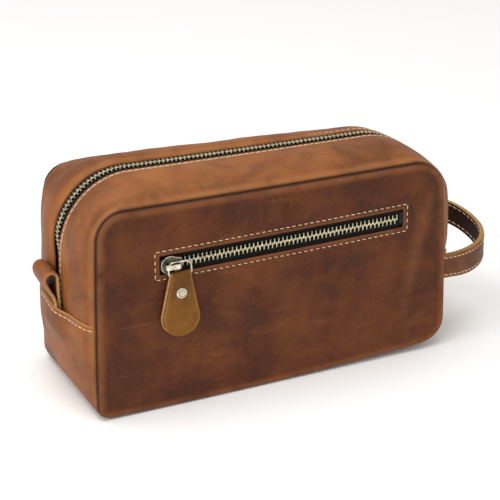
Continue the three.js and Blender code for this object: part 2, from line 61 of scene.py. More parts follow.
# ---------- Driving dimensions, from the frame ----------
PANEL_LOW, PANEL_HIGH = node_box("front_panel")
HALF_LENGTH = PANEL_HIGH[0]
HEIGHT = PANEL_HIGH[2]
FRONT_Y = PANEL_LOW[1]
LEATHER = PANEL_HIGH[1] - PANEL_LOW[1]
GAP = 0.3
EDGE_Y = -PANEL_HIGH[1] - GAP
CLOTH = 0.8
STRIP_LOW, STRIP_HIGH = node_box("zip_strip_front_right")
END_BULGE = STRIP_HIGH[0] - HALF_LENGTH
TOP_BULGE = node_box("zip_strip_front_top")[1][2] - HEIGHT
JOIN_Z = STRIP_LOW[2] - GAP
ZIP_HALF_SLOT = -STRIP_HIGH[1]
UNDER = LEATHER + GAP

# Corner radii of the seam outline and of the crown along the zip: this bag has settled to its right.
SEAM_RADIUS = {-1: 18, 1: 21}
CROWN_RADIUS = {-1: 50, 1: 52}
BASE_RADIUS = {-1: 8, 1: 18}
CORNER_START = 89
ARC_RUN = 78.5
CORNER_END = CORNER_START + ARC_RUN
ZIP_END = CORNER_END + 46
STRIP_END = ZIP_END + 15
BLEND_FROM = 105
BLEND_TO = 45

# The pocket zip's window, and the lines that its stitches follow.
TAPE_LOW, TAPE_HIGH = node_box("pocket_tape_lower")[0], node_box("pocket_tape_upper")[1]
TAPE_MARGIN = 5
POCKET_Z = (TAPE_LOW[2] + TAPE_HIGH[2]) / 2
WINDOW = {
    "left": TAPE_LOW[0] + TAPE_MARGIN,
    "right": TAPE_HIGH[0] - TAPE_MARGIN,
    "low": POCKET_Z - 6.8,
    "high": POCKET_Z + 6.8,
}
STITCH_MARGIN = 3.3

ROLL = 2.1  # radius of the soft roll where a piece turns into its seam
ROLL_TUCK = 0.5
STITCH_PITCH = 4.5
STITCH_LENGTH = 4.0
STITCH_SLANT = 0.1
THREAD_RADIUS = 0.35
TOOTH_PITCH = 3.15
TOOTH_RISE = 2.4
CHAIN_HALF = 3.65


# ---------- Small tools ----------
def mix(a, b, t):
    return a + (b - a) * t


def smooth(low, high, value):
    """0 below low, 1 above high, and an even S between them."""
    t = np.clip((np.asarray(value, float) - low) / (high - low), 0, 1)
    return t * t * (3 - 2 * t)


def by_side(table, u):
    """A table's left or right value, by the sign of u."""
    return np.where(np.asarray(u) > 0, table[1], table[-1])


def cloud(points, size, seed=0.0):
    """Smooth noise from -1 to 1 at each point, with features about `size` mm across."""
    flat = np.asarray(points, float).reshape(-1, 3) / size + seed
    made = np.array([noise.noise(Vector(p)) for p in flat])
    return made.reshape(np.shape(points)[:-1])


def bell(offset, width):
    """1 where the offset is 0, falling smoothly away on both sides."""
    return np.exp(-((offset / width) ** 2))


def outside(value, low, high):
    """How far a value lies outside its limits, 0 between them."""
    return np.maximum(np.maximum(low - value, value - high), 0)


def circle(count):
    """Even turns round a circle."""
    return np.linspace(0, 2 * math.pi, count, endpoint=False)


def xyz(x, y, z):
    """Points from their three coordinates, each of them a number or an array."""
    return np.stack(np.broadcast_arrays(x, y, z), axis=-1)


def run_of(line):
    """Distance along a line of points."""
    steps = np.linalg.norm(np.diff(line, axis=0), axis=1)
    return np.concatenate([[0], np.cumsum(steps)])


def at_run(line, run, where):
    """The point at each distance along a line."""
    return np.stack([np.interp(where, run, line[:, axis]) for axis in range(3)], axis=-1)


def unit(vectors):
    return vectors / np.maximum(np.linalg.norm(vectors, axis=-1, keepdims=True), 1e-9)


# ---------- How the soft bag has settled ----------
# Shifts in mm at three places along (left, middle, right), across (front, zip, back) and up (base,
# middle, top). Every piece sewn to the bag is moved by the same smooth field, so seams stay together.
SETTLED = {
    ("left", "front", "top"): (0, 0, 0.5),
    ("middle", "front", "top"): (0, 0.5, -2.8),
    ("right", "front", "top"): (-1.5, 0.5, -5),
    ("left", "zip", "top"): (0, 0, 2),
    ("middle", "zip", "top"): (0, 0, -1.8),
    ("right", "zip", "top"): (2, 0, -5),
    ("left", "back", "top"): (2, -4, -1.5),
    ("middle", "back", "top"): (0, -5, -7),
    ("right", "back", "top"): (-2, -5, -17),
    ("left", "front", "middle"): (-3, -1, 0),
    ("left", "zip", "middle"): (-1, 0, 0),
    ("left", "back", "middle"): (-1, 1, 0),
    ("middle", "back", "middle"): (0, 2, 0),
    ("right", "front", "middle"): (3, 0, 0),
    ("right", "back", "middle"): (1, 1, 0),
    ("left", "front", "base"): (-3.5, 0, 1),
    ("left", "back", "base"): (-3, 0, 0.5),
    ("right", "front", "base"): (4.5, 0, 5.5),
    ("right", "zip", "base"): (2, 0, 2),
    ("right", "back", "base"): (2, 0, 3),
}


def weights(t):
    """Shares of three evenly spaced places, at -1, 0 and 1."""
    return {-1: t * (t - 1) / 2, 0: 1 - t * t, 1: t * (t + 1) / 2}


def held(points):
    """How firmly each place is held where it is: 1 along the pocket zip and the main slider's run."""
    x, y, z = points[..., 0], points[..., 1], points[..., 2]
    off_x = outside(x, WINDOW["left"], WINDOW["right"])
    off_z = np.maximum(np.abs(z - POCKET_Z) - 8, 0)
    pocket = (1 - smooth(2, 34, np.hypot(off_x, off_z))) * smooth(20, 45, -y)
    run_z = outside(z, 64, 104)
    slider = (1 - smooth(4, 34, np.sqrt(run_z**2 + y**2))) * smooth(110, 130, x)
    return np.maximum(pocket, slider)


def settle(points):
    points = np.asarray(points, float)
    place = {"left": -1, "middle": 0, "right": 1, "front": -1, "zip": 0, "back": 1, "base": -1, "top": 1}
    along = weights(np.clip(points[..., 0] / HALF_LENGTH, -1.1, 1.1))
    across = weights(np.clip(points[..., 1] / -FRONT_Y, -1, 1))
    up = weights(np.clip(points[..., 2] / (HEIGHT / 2) - 1, -1, 1.1))
    shift = np.zeros(points.shape)
    for (x, y, z), amount in SETTLED.items():
        share = along[place[x]] * across[place[y]] * up[place[z]]
        shift += share[..., None] * np.array(amount, float)
    moved = points + shift * (1 - held(points))[..., None]
    moved[..., 2] = np.maximum(moved[..., 2], 0)
    return moved


# ---------- Meshes ----------
def make_object(name, vertices, faces):
    mesh = bpy.data.meshes.new(name)
    mesh.from_pydata((np.asarray(vertices, float).reshape(-1, 3) * MM).tolist(), [], faces)
    mesh.validate()
    mesh.shade_smooth()
    obj = bpy.data.objects.new(name, mesh)
    bpy.context.scene.collection.objects.link(obj)
    return obj


def grid_faces(rows, columns, close_rows=False, close_columns=False, keep=None, offset=0):
    faces = []
    for i in range(rows if close_rows else rows - 1):
        for j in range(columns if close_columns else columns - 1):
            if keep is None or keep[i, j]:
                below = (i + 1) % rows
                beside = (j + 1) % columns
                corners = ((i, j), (i, beside), (below, beside), (below, j))
                faces.append(tuple(offset + row * columns + column for row, column in corners))
    return faces


def paint(obj, name, values):
    """Stores a number for each vertex, which materials read by name."""
    attribute = obj.data.attributes.new(name, "FLOAT", "POINT")
    attribute.data.foreach_set("value", np.asarray(values, np.float32).ravel())


def apply(obj, kind, **settings):
    modifier = obj.modifiers.new(kind.title(), kind)
    for key, value in settings.items():
        setattr(modifier, key, value)
    bpy.context.view_layer.objects.active = obj
    bpy.ops.object.modifier_apply(modifier=modifier.name)


def face_outwards(obj):
    """Turns an open skin's faces away from the middle of the bag."""
    middle = Vector((0, 0, HEIGHT / 2 * MM))
    facing = sum((f.center - middle).dot(f.normal) * f.area for f in obj.data.polygons)
    if facing < 0:
        obj.data.flip_normals()


def skin(name, points, materials, thickness=1.8, keep=None, seam=None, painted_shade=None):
    """A sheet of leather or cloth through a grid of points, thickened towards the inside of the bag."""
    rows, columns = points.shape[:2]
    obj = make_object(name, points, grid_faces(rows, columns, keep=keep))
    for label, values in (("seam", seam), ("painted_shade", painted_shade)):
        if values is not None:
            paint(obj, label, np.broadcast_to(values, points.shape[:2]))
    drop_loose(obj)
    face_outwards(obj)
    dress(obj, *materials)
    rim = 1 if len(materials) > 1 else 0
    apply(obj, "SOLIDIFY", thickness=thickness * MM, offset=-1, material_offset_rim=rim)
    crisp_middle(obj)
    return obj


def crisp_middle(obj):
    """Keeps the shading of a half's cut face, at the middle of the bag, off the half's own surface."""
    place = [abs(v.co.x) < 0.02 * MM for v in obj.data.vertices]
    for edge in obj.data.edges:
        if all(place[v] for v in edge.vertices):
            edge.use_edge_sharp = True


def drop_loose(obj):
    work = bmesh.new()
    work.from_mesh(obj.data)
    loose = [v for v in work.verts if not v.link_faces]
    bmesh.ops.delete(work, geom=loose, context="VERTS")
    work.to_mesh(obj.data)
    work.free()


def tidy_normals(obj):
    work = bmesh.new()
    work.from_mesh(obj.data)
    bmesh.ops.recalc_face_normals(work, faces=work.faces)
    work.to_mesh(obj.data)
    work.free()


def loft(name, rings, close=False):
    """A solid through closed rings of points, capped at both ends unless it closes on itself."""
    rings = np.asarray(rings, float)
    count, around = rings.shape[:2]
    faces = grid_faces(count, around, close_rows=close, close_columns=True)
    if not close:
        faces += [tuple(range(around)), tuple(count * around - 1 - k for k in range(around))]
    obj = make_object(name, rings, faces)
    tidy_normals(obj)
    return obj


def loft_row(name, points, material):
    """Separate capped solids in one mesh, through points[solid, ring, place round it]."""
    count, rings, around = points.shape[:3]
    faces = []
    for start in range(0, count * rings * around, rings * around):
        faces += grid_faces(rings, around, close_columns=True, offset=start)
        faces.append(tuple(start + place for place in range(around)))
        faces.append(tuple(start + rings * around - 1 - place for place in range(around)))
    obj = make_object(name, points, faces)
    tidy_normals(obj)
    dress(obj, material)
    return obj


def join(name, objects):
    """Joins meshes into the first of them."""
    bpy.ops.object.select_all(action="DESELECT")
    for obj in objects:
        obj.select_set(True)
    bpy.context.view_layer.objects.active = objects[0]
    bpy.ops.object.join()
    objects[0].name = name
    objects[0].data.name = name
    return objects[0]


def dress(obj, *materials):
    obj.data.materials.clear()
    for material in materials:
        obj.data.materials.append(material)


# ---------- Materials ----------
# Colour of the painted shade down in the seams, where the leather turns out of the light.
SEAM_DARK = "140805"


def rgb(code):
    """A colour written as sRGB hexadecimal, as the linear values that nodes take."""
    parts = [int(code[i : i + 2], 16) / 255 for i in (0, 2, 4)]
    linear = [p / 12.92 if p <= 0.04045 else ((p + 0.055) / 1.055) ** 2.4 for p in parts]
    return (*linear, 1)


class Nodes:
    """A short way to write a material's nodes."""

    def __init__(self, name):
        self.material = bpy.data.materials.new(name)
        self.material.use_nodes = True
        self.tree = self.material.node_tree
        self.tree.nodes.clear()
        self.output = self.add("ShaderNodeOutputMaterial")
        self.shader = self.add("ShaderNodeBsdfPrincipled")
        self.link(self.shader.outputs[0], self.output.inputs[0])
        self.place = self.add("ShaderNodeTexCoord").outputs["Object"]

    def add(self, kind, **settings):
        made = self.tree.nodes.new(kind)
        for key, value in settings.items():
            setattr(made, key, value)
        return made

    def link(self, source, target):
        if hasattr(source, "links"):
            self.tree.links.new(source, target)
        else:
            target.default_value = source

    def set(self, **values):
        for key, value in values.items():
            self.link(value, self.shader.inputs[key.replace("_", " ")])

    def noise(self, size, detail=4, rough=0.6, distort=0.0, place=None):
        """Noise with features about `size` mm across."""
        made = self.add("ShaderNodeTexNoise")
        self.link(place or self.place, made.inputs["Vector"])
        made.inputs["Scale"].default_value = 1 / (size * MM)
        made.inputs["Detail"].default_value = detail
        made.inputs["Roughness"].default_value = rough
        made.inputs["Distortion"].default_value = distort
        return made.outputs[0]

    def cells(self, size):
        made = self.add("ShaderNodeTexVoronoi", feature="F1")
        self.link(self.place, made.inputs["Vector"])
        made.inputs["Scale"].default_value = 1 / (size * MM)
        return made.outputs["Distance"]

    def stretched(self, x, y, z, turn=0.0):
        made = self.add("ShaderNodeMapping")
        self.link(self.place, made.inputs["Vector"])
        made.inputs["Scale"].default_value = (x, y, z)
        made.inputs["Rotation"].default_value = (0, turn, 0)
        return made.outputs[0]

    def bands(self, size, direction, distort=0.0):
        made = self.add("ShaderNodeTexWave", bands_direction=direction)
        self.link(self.place, made.inputs["Vector"])
        made.inputs["Scale"].default_value = 0.314 / (size * MM)
        made.inputs["Distortion"].default_value = distort
        return made.outputs["Fac"]

    def painted(self, name):
        return self.add("ShaderNodeAttribute", attribute_name=name).outputs["Fac"]

    def between(self, value, low, high):
        """0 below low, 1 above high."""
        made = self.add("ShaderNodeMapRange")
        self.link(value, made.inputs["Value"])
        made.inputs["From Min"].default_value = low
        made.inputs["From Max"].default_value = high
        return made.outputs["Result"]

    def math(self, operation, a, b):
        made = self.add("ShaderNodeMath", operation=operation)
        self.link(a, made.inputs[0])
        self.link(b, made.inputs[1])
        return made.outputs[0]

    def blend(self, share, a, b):
        made = self.add("ShaderNodeMix", data_type="RGBA", blend_type="MIX")
        self.link(share, made.inputs["Factor"])
        self.link(a, made.inputs[6])
        self.link(b, made.inputs[7])
        return made.outputs[2]

    def ramp(self, value, *stops):
        made = self.add("ShaderNodeValToRGB")
        self.link(value, made.inputs[0])
        ramp = made.color_ramp
        while len(ramp.elements) < len(stops):
            ramp.elements.new(0.5)
        for element, (place, colour) in zip(ramp.elements, stops):
            element.position = place
            element.color = rgb(colour)
        return made.outputs[0]

    def bump(self, height, depth, strength=1.0, after=None):
        made = self.add("ShaderNodeBump")
        self.link(height, made.inputs["Height"])
        made.inputs["Distance"].default_value = depth * MM
        made.inputs["Strength"].default_value = strength
        if after is not None:
            self.link(after, made.inputs["Normal"])
        return made.outputs[0]


def leather(name, tones, patches=(0.5, 0.68), rough=0.5):
    """Waxed pull-up leather: broad soft clouds of several tones, scuffs and a fine pebbled grain."""
    n = Nodes(name)
    deep, dark, middle, light, patch, wear_and_sheen = tones.split()
    broad = n.math("MULTIPLY", n.noise(48, 3, 0.5, 0.3), 0.72)
    tone = n.math("ADD", broad, n.math("MULTIPLY", n.noise(11, 4, 0.55, 0.2), 0.28))
    colour = n.ramp(tone, (0.36, deep), (0.46, dark), (0.54, middle), (0.66, light))
    spots = n.between(n.noise(30, 3, 0.55, 0.6), *patches)
    colour = n.blend(n.math("MULTIPLY", spots, 0.55), colour, rgb(patch))
    scuff = n.between(n.noise(13, 4, 0.6, 0.4, n.stretched(0.45, 1, 1.3, 0.3)), 0.58, 0.78)
    colour = n.blend(n.math("MULTIPLY", scuff, 0.3), colour, rgb(wear_and_sheen))
    scratch = n.between(n.noise(3.2, 3, 0.5, 0.0, n.stretched(0.07, 1, 1, 0.6)), 0.68, 0.76)
    colour = n.blend(n.math("MULTIPLY", scratch, 0.18), colour, rgb(wear_and_sheen))
    grime = n.between(n.noise(1.1, 4, 0.7), 0.38, 0.62)
    colour = n.blend(0.13, colour, n.blend(grime, rgb(deep), rgb(wear_and_sheen)))
    # Lighter along rolled edges and folds: partly wear, partly painted highlight where they catch the
    # light.
    seam = n.math("MULTIPLY", n.painted("seam"), n.between(n.noise(16, 3, 0.5), 0.2, 0.55))
    colour = n.blend(n.math("MULTIPLY", seam, 0.55), colour, rgb(wear_and_sheen))
    # Painted shade: darker where the leather turns down into its seams, out of the light.
    colour = n.blend(n.math("MULTIPLY", n.painted("painted_shade"), 0.92), colour, rgb(SEAM_DARK))
    roughness = n.math("ADD", n.math("MULTIPLY", n.noise(12, 4, 0.6), 0.24), rough - 0.1)
    pebbles = n.math("MULTIPLY", n.cells(0.85), 0.6)
    grain = n.math("ADD", pebbles, n.math("MULTIPLY", n.noise(0.35, 3), 0.5))
    low = n.bump(n.noise(4.5, 4, 0.6), 0.5, 0.4)
    n.set(Base_Color=colour, Roughness=roughness, Normal=n.bump(grain, 0.17, 0.6, low))
    n.set(Specular_IOR_Level=0.16)
    return n.material


def raw_edge(name, light, dark):
    """The cut edge of the hide: pale fibres between two darker faces."""
    n = Nodes(name)
    fibres = n.noise(0.8, 5, 0.75, 0.3)
    colour = n.ramp(fibres, (0.35, dark), (0.6, light))
    # Painted shade where the cut edge lies down in a seam.
    colour = n.blend(n.painted("painted_shade"), colour, rgb(SEAM_DARK))
    n.set(Base_Color=colour, Roughness=0.8, Normal=n.bump(fibres, 0.3, 0.6), Specular_IOR_Level=0.2)
    return n.material


def woven(name, dark, light, pitch, axes=("X", "Z"), depth=0.12):
    """Cloth with threads both ways."""
    n = Nodes(name)
    weave = n.math("MULTIPLY", n.bands(pitch, axes[0], 0.4), n.bands(pitch, axes[1], 0.4))
    shade = n.math("ADD", n.math("MULTIPLY", weave, 0.5), n.math("MULTIPLY", n.noise(6, 5), 0.5))
    colour = n.ramp(shade, (0.2, dark), (0.75, light))
    n.set(Base_Color=colour, Roughness=0.92, Normal=n.bump(weave, depth, 0.8))
    n.set(Sheen_Weight=0.15, Specular_IOR_Level=0.2)
    return n.material


def metal(name, dark, middle, bright, size, rough=(0.26, 0.46), shade_colour="1d1813"):
    """Plated metal with random patches of tone, darkened towards a dark colour as painted shade where the
    mesh is painted for it.
    """
    n = Nodes(name)
    tone = n.noise(size, 6, 0.7, 0.4)
    colour = n.ramp(tone, (0.34, dark), (0.5, middle), (0.66, bright))
    # Painted shade: darker in hollows, under parts and down towards the tape, wherever the mesh carries
    # painted shade values.
    colour = n.blend(n.math("MULTIPLY", n.painted("painted_shade"), 0.85), colour, rgb(shade_colour))
    spread = n.between(n.noise(size / 2, 4, 0.7), 0.3, 0.7)
    roughness = n.math("ADD", n.math("MULTIPLY", spread, rough[1] - rough[0]), rough[0])
    n.set(Base_Color=colour, Roughness=roughness, Normal=n.bump(n.noise(0.7, 4), 0.04, 0.5))
    n.set(Metallic=1)
    return n.material


def thread_material(name, dark, light):
    """Waxed thread with a twist."""
    n = Nodes(name)
    twist = n.bands(0.55, "DIAGONAL", 0.2)
    shade = n.math("ADD", n.math("MULTIPLY", n.noise(7, 4), 0.7), n.math("MULTIPLY", twist, 0.3))
    colour = n.ramp(shade, (0.3, dark), (0.6, light))
    n.set(Base_Color=colour, Roughness=0.72, Normal=n.bump(twist, 0.1, 0.6))
    return n.material


def make_materials():
    """Leathers have six tones: deep, dark, middle, light, of patches, and a pale one for wear and for the
    painted highlight along rolled edges.
    """
    return {
        "front": leather("front_leather", "3a1a0d 472110 562915 623417 64380f 8c5630"),
        "body": leather("body_leather", "5a2f18 6e3e20 824c27 93592e 8d5022 a06a3c", (0.48, 0.68)),
        "strap": leather("strap_leather", "45200f 562c15 69391b 7a4823 75401a 9a6436"),
        # Very dark tones: a darker leather, and darker still as painted shade for the inside of the
        # handle's loop.
        "strap_inside": leather("inside_leather", "140a07 1d100b 291711 36201a 301a12 4d2f22", rough=0.6),
        "pull": leather("pull_leather", "4f2a0a 60370f 724514 82531b 553010 a57637"),
        "edge": raw_edge("raw_edge", "c4965f", "865a33"),
        "front_edge": raw_edge("front_raw_edge", "8f5c30", "472312"),
        "lining": woven("lining_cloth", "2c2219", "54432f", 0.5),
        "tape": woven("zip_tape_cloth", "0c0a08", "241d18", 0.45, ("X", "DIAGONAL"), 0.18),
        "teeth": metal("tooth_metal", "8c8266", "c6bc9c", "f0e8cc", 1.6),
        "slider": metal("gunmetal", "47433b", "625d52", "7d776a", 9, (0.24, 0.36)),
        "wire": metal("bright_wire", "a49d8c", "cfc7b4", "f2ecdc", 3, (0.2, 0.34)),
        "rivet": metal("rivet_metal", "a79f88", "cbc3aa", "ece5cf", 3.4, (0.28, 0.42)),
        "thread": thread_material("cream_thread", "b8946a", "ead6b4"),
    }


LOOK = make_materials()
THICK_EDGED = (LOOK["body"], LOOK["edge"])


# ---------- The bag's surfaces ----------
def swell(y):
    """How far the gusset has swelled at depth y: 0 at the seams, 1 along the zip."""
    return 1 - np.clip(np.abs(y) / EDGE_Y, 0, 1) ** 2.6


def end_puff(y, z):
    """How far the stuffed right end stands out close to its seams, above the handle's roots."""
    within = EDGE_Y - np.abs(y)
    lobe = smooth(0.5, 9, within) * (1 - smooth(20, 46, within))
    return 4.6 * lobe * smooth(52, 84, z) * (1 - smooth(116, 146, z))


def zip_point(u, y, rise=0.0):
    """A point of the zip gusset, `rise` above its surface. u runs along the zip from the top's middle."""
    u, y, rise = np.broadcast_arrays(np.asarray(u, float), np.asarray(y, float), np.asarray(rise, float))
    along = np.abs(u)
    swelled = swell(y)
    reach = HALF_LENGTH + END_BULGE * swelled
    top = HEIGHT + TOP_BULGE * swelled
    radius = mix(by_side(SEAM_RADIUS, u), by_side(CROWN_RADIUS, u), swelled)
    lean = (1 - np.clip((along - CORNER_START) / ARC_RUN, 0, 1)) * math.pi / 2
    fall = np.clip((along - CORNER_END) / (ZIP_END - CORNER_END), 0, 1)
    x = np.clip(along / CORNER_START, 0, 1) * (reach - radius) + (radius + rise) * np.cos(lean)
    z = mix(top - radius, JOIN_Z, fall) + (radius + rise) * np.sin(lean) - np.maximum(along - ZIP_END, 0)
    return xyz(np.sign(u) * x, y, z)


def base_point(v, y, rise=0.0):
    """A point of the base gusset, `rise` above its surface. v runs along the base and up both ends."""
    v, y, rise = np.broadcast_arrays(np.asarray(v, float), np.asarray(y, float), np.asarray(rise, float))
    along = np.abs(v)
    radius = by_side(BASE_RADIUS, v)
    flat = HALF_LENGTH - radius
    turned = np.clip((along - flat) / (radius * math.pi / 2), 0, 1) * math.pi / 2
    up = np.maximum(along - flat - radius * math.pi / 2, 0)
    z = radius - (radius + rise) * np.cos(turned) + up
    height = radius * (1 - np.cos(turned)) + up
    bulge = END_BULGE * swell(y) * np.sin(math.pi / 2 * np.clip(height / 30, 0, 1))
    x = np.minimum(along, flat) + (radius + rise) * np.sin(turned) + bulge
    return xyz(np.sign(v) * x, y, z)


def base_end(side, z):
    """The v at which the base gusset's end is z high."""
    radius = BASE_RADIUS[side]
    return HALF_LENGTH - radius + radius * math.pi / 2 + z - radius


ROLL_STEPS = 9
ROLL_TURNS = np.radians(np.linspace(165, 0, ROLL_STEPS))
ROLL_IN = ROLL + ROLL_TUCK - ROLL * np.sin(ROLL_TURNS)
ROLL_DEPTH = ROLL - ROLL * np.cos(ROLL_TURNS)
ROLL_FLAT = np.linspace(0, ROLL + ROLL_TUCK, ROLL_STEPS)
NEAR_ROLL = ROLL + ROLL_TUCK + np.array([0.9, 1.9, 3.2, 5.0])


def rolled(flat):
    """Inset from the edge and depth behind the face, for a place `flat` mm in along the leather."""
    inset = np.where(flat > ROLL_FLAT[-1], flat, np.interp(flat, ROLL_FLAT, ROLL_IN))
    return inset, np.interp(flat, ROLL_FLAT, ROLL_DEPTH)


# ---------- Panels ----------
def spread_lines(low, high, step, extra=()):
    """Grid lines between two values, about `step` apart, with more of them at the places in extra."""
    count = max(2, round((high - low) / step) + 1)
    lines = [v for v in np.linspace(low, high, count) if all(abs(v - e) > step * 0.3 for e in extra)]
    return sorted(lines + [e for e in extra if low < e < high])


def edged_lines(low, high, step, extra=()):
    rim = np.concatenate([ROLL_FLAT, NEAR_ROLL])
    inner = spread_lines(low + rim[-1] + step, high - rim[-1] - step, step, extra)
    return np.array([*(low + rim), *inner, *(high - rim[::-1])])


def panel_points(xs, zs):
    """Points of a panel with rounded corners and rolled edges: x, depth behind its face, z; and flat."""
    x, z = np.meshgrid(xs, zs)
    upper = z > HEIGHT / 2
    radius = np.where(upper, by_side(SEAM_RADIUS, x), by_side(BASE_RADIUS, x))
    edge_x = HALF_LENGTH - np.abs(x)
    edge_z = np.minimum(z, HEIGHT - z)
    flat = np.minimum(edge_x, edge_z)
    inset, depth = rolled(flat)
    side = np.sign(x)
    rising = np.where(upper, 1, -1)
    middle = HEIGHT / 2
    straight_x = np.where(edge_x <= edge_z, side * (HALF_LENGTH - inset), x)
    straight_z = np.where(edge_x > edge_z, middle + rising * (middle - inset), z)
    u = 1 - edge_x / radius
    v = 1 - edge_z / radius
    length = np.maximum(np.hypot(u, v), 1e-6)
    corner_x = side * (HALF_LENGTH - radius + (radius - inset) * u / length)
    corner_z = middle + rising * (middle - radius + (radius - inset) * v / length)
    corner = (u > 0) & (v > 0)
    across = np.where(corner, corner_x, straight_x)
    up = np.where(corner, corner_z, straight_z)
    return xyz(across, depth, up), flat


def seam_dark(flat):
    """Where the leather turns down into its seam, out of the light."""
    return 1 - smooth(1.3, 2.2, flat)


def seam_shine(flat):
    """Where leather is lighter, on and just inside its rolled edge: partly from wear, partly painted
    highlight where the roll catches the light.
    """
    return 0.8 * (1 - smooth(2.4, 7, flat))


def puffed(x, z, amount):
    return amount * (1 - (x / HALF_LENGTH) ** 2) * (1 - (z / (HEIGHT / 2) - 1) ** 2)


def window_gap(x, z):
    """Distance outside the pocket's window, 0 inside it."""
    off_x = outside(x, WINDOW["left"], WINDOW["right"])
    off_z = outside(z, WINDOW["low"], WINDOW["high"])
    return np.maximum(off_x, off_z)


WINDOW_STEPS = np.array([0, 0.7, 1.6, 2.5, STITCH_MARGIN, 4.1, 5.4, 8])


def side_crease(x, z):
    """The soft fold that runs down the right of the front, from the top corner towards the base."""
    line = mix(94, 121, np.clip((z - 20) / 115, 0, 1) ** 1.3)
    return bell(x - line, 5) * smooth(12, 40, z) * (1 - smooth(118, 140, z))


def front_panel_height(x, z, flat):
    """How far the front panel stands out at a place, from its puff, its waves and its stitched frame."""
    gap = window_gap(x, z)
    place = xyz(x, z, 0)
    waves = 0.9 * cloud(place, 48, 3.1) + 0.45 * cloud(place, 17, 8.7) + 0.12 * cloud(place, 6, 5.2)
    free = smooth(2, 14, flat) * smooth(3, 16, gap)
    stitched = bell(gap - STITCH_MARGIN, 0.9) * (gap > 0)
    edge = 0.35 * bell(gap, 0.6)
    relief = waves * free + 1.1 * side_crease(x, z) * smooth(1, 5, gap + 20 * (x < WINDOW["right"]))
    return puffed(x, z, 1.2) * smooth(0, 25, flat) + relief - 0.45 * stitched - edge


def make_front_panel():
    w = WINDOW
    extra_x = [*(w["left"] - WINDOW_STEPS), *(w["right"] + WINDOW_STEPS)]
    extra_z = [*(w["low"] - WINDOW_STEPS), *(w["high"] + WINDOW_STEPS)]
    xs = edged_lines(-HALF_LENGTH, HALF_LENGTH, 3.4, extra_x)
    zs = edged_lines(0, HEIGHT, 3.4, extra_z)
    points, flat = panel_points(xs, zs)
    x, z = points[..., 0], points[..., 2]
    points[..., 1] = FRONT_Y + points[..., 1] - front_panel_height(x, z, flat)
    within_x = (xs[:-1] > w["left"] - 0.1) & (xs[:-1] < w["right"] - 0.1)
    within_z = (zs[:-1] > w["low"] - 0.1) & (zs[:-1] < w["high"] - 0.1)
    keep = ~(within_z[:, None] & within_x[None, :])
    gap = window_gap(x, z)
    seam = np.maximum(1.25 * seam_shine(flat), 0.7 * (1 - smooth(0.8, 3.2, gap)))
    seam = np.maximum(seam, 0.5 * side_crease(x, z))
    look = (LOOK["front"], LOOK["front_edge"])
    panel = skin("front_panel_leather", settle(points), look, keep=keep, seam=seam, painted_shade=seam_dark(flat))
    finish(panel, "leather_front", "front_panel")


def make_back_panel():
    xs = edged_lines(-HALF_LENGTH, HALF_LENGTH, 4.5)
    zs = edged_lines(0, HEIGHT, 4.5)
    points, flat = panel_points(xs, zs)
    x, z = points[..., 0], points[..., 2]
    place = xyz(x, z, 70)
    waves = (1.1 * cloud(place, 52, 1.7) + 0.4 * cloud(place, 18, 4.4)) * smooth(2, 14, flat)
    puff = puffed(x, z, 2) * smooth(0, 25, flat)
    points[..., 1] = -FRONT_Y - points[..., 1] + puff + waves
    points = settle(points)
    panel = skin("back_panel_leather", points, THICK_EDGED, seam=seam_shine(flat), painted_shade=seam_dark(flat))
    finish(panel, "leather_body", "back_panel")


def finish(obj, slot, *nodes, body="root"):
    """Hides the CAD nodes that the piece stands for, and rides it on its body; slot is not used."""
    if nodes:
        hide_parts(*nodes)
    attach(obj, body)


def finish_blended(obj, slot, body, start, end, *nodes):
    """Hides the CAD nodes that the piece stands for and bakes its placement into its mesh; the piece is
    not bent and not ridden on a body. slot and body are not used; start and end, both in millimetres, are
    turned to metres and not used further.
    """
    if nodes:
        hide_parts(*nodes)
    start, end = (tuple(value * MM for value in place) for place in (start, end))
    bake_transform(obj)
    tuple(start)
    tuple(end)


def finish_lip(obj, slot, face_name, side, *nodes):
    """Finishes a gusset piece with finish_blended, giving it the span from the closed corner to its lip.
    """
    start = (side * BLEND_FROM, 0, HEIGHT)
    end = (side * BLEND_TO, 0, HEIGHT)
    finish_blended(obj, slot, f"{face_name}_lip", start, end, *nodes)


# ---------- The zip gusset ----------
FACES = ((-1, "front"), (1, "back"))
SIDES = ((-1, "left"), (1, "right"))
FOLD_RADIUS = 1.25
FOLD_TOP_Y = ZIP_HALF_SLOT + FOLD_RADIUS * 0.2
FOLD_STITCH = {-1: 3.0, 1: 4.2}  # from there to each strip's row of stitches
SEAM_EDGE = EDGE_Y - 0.9


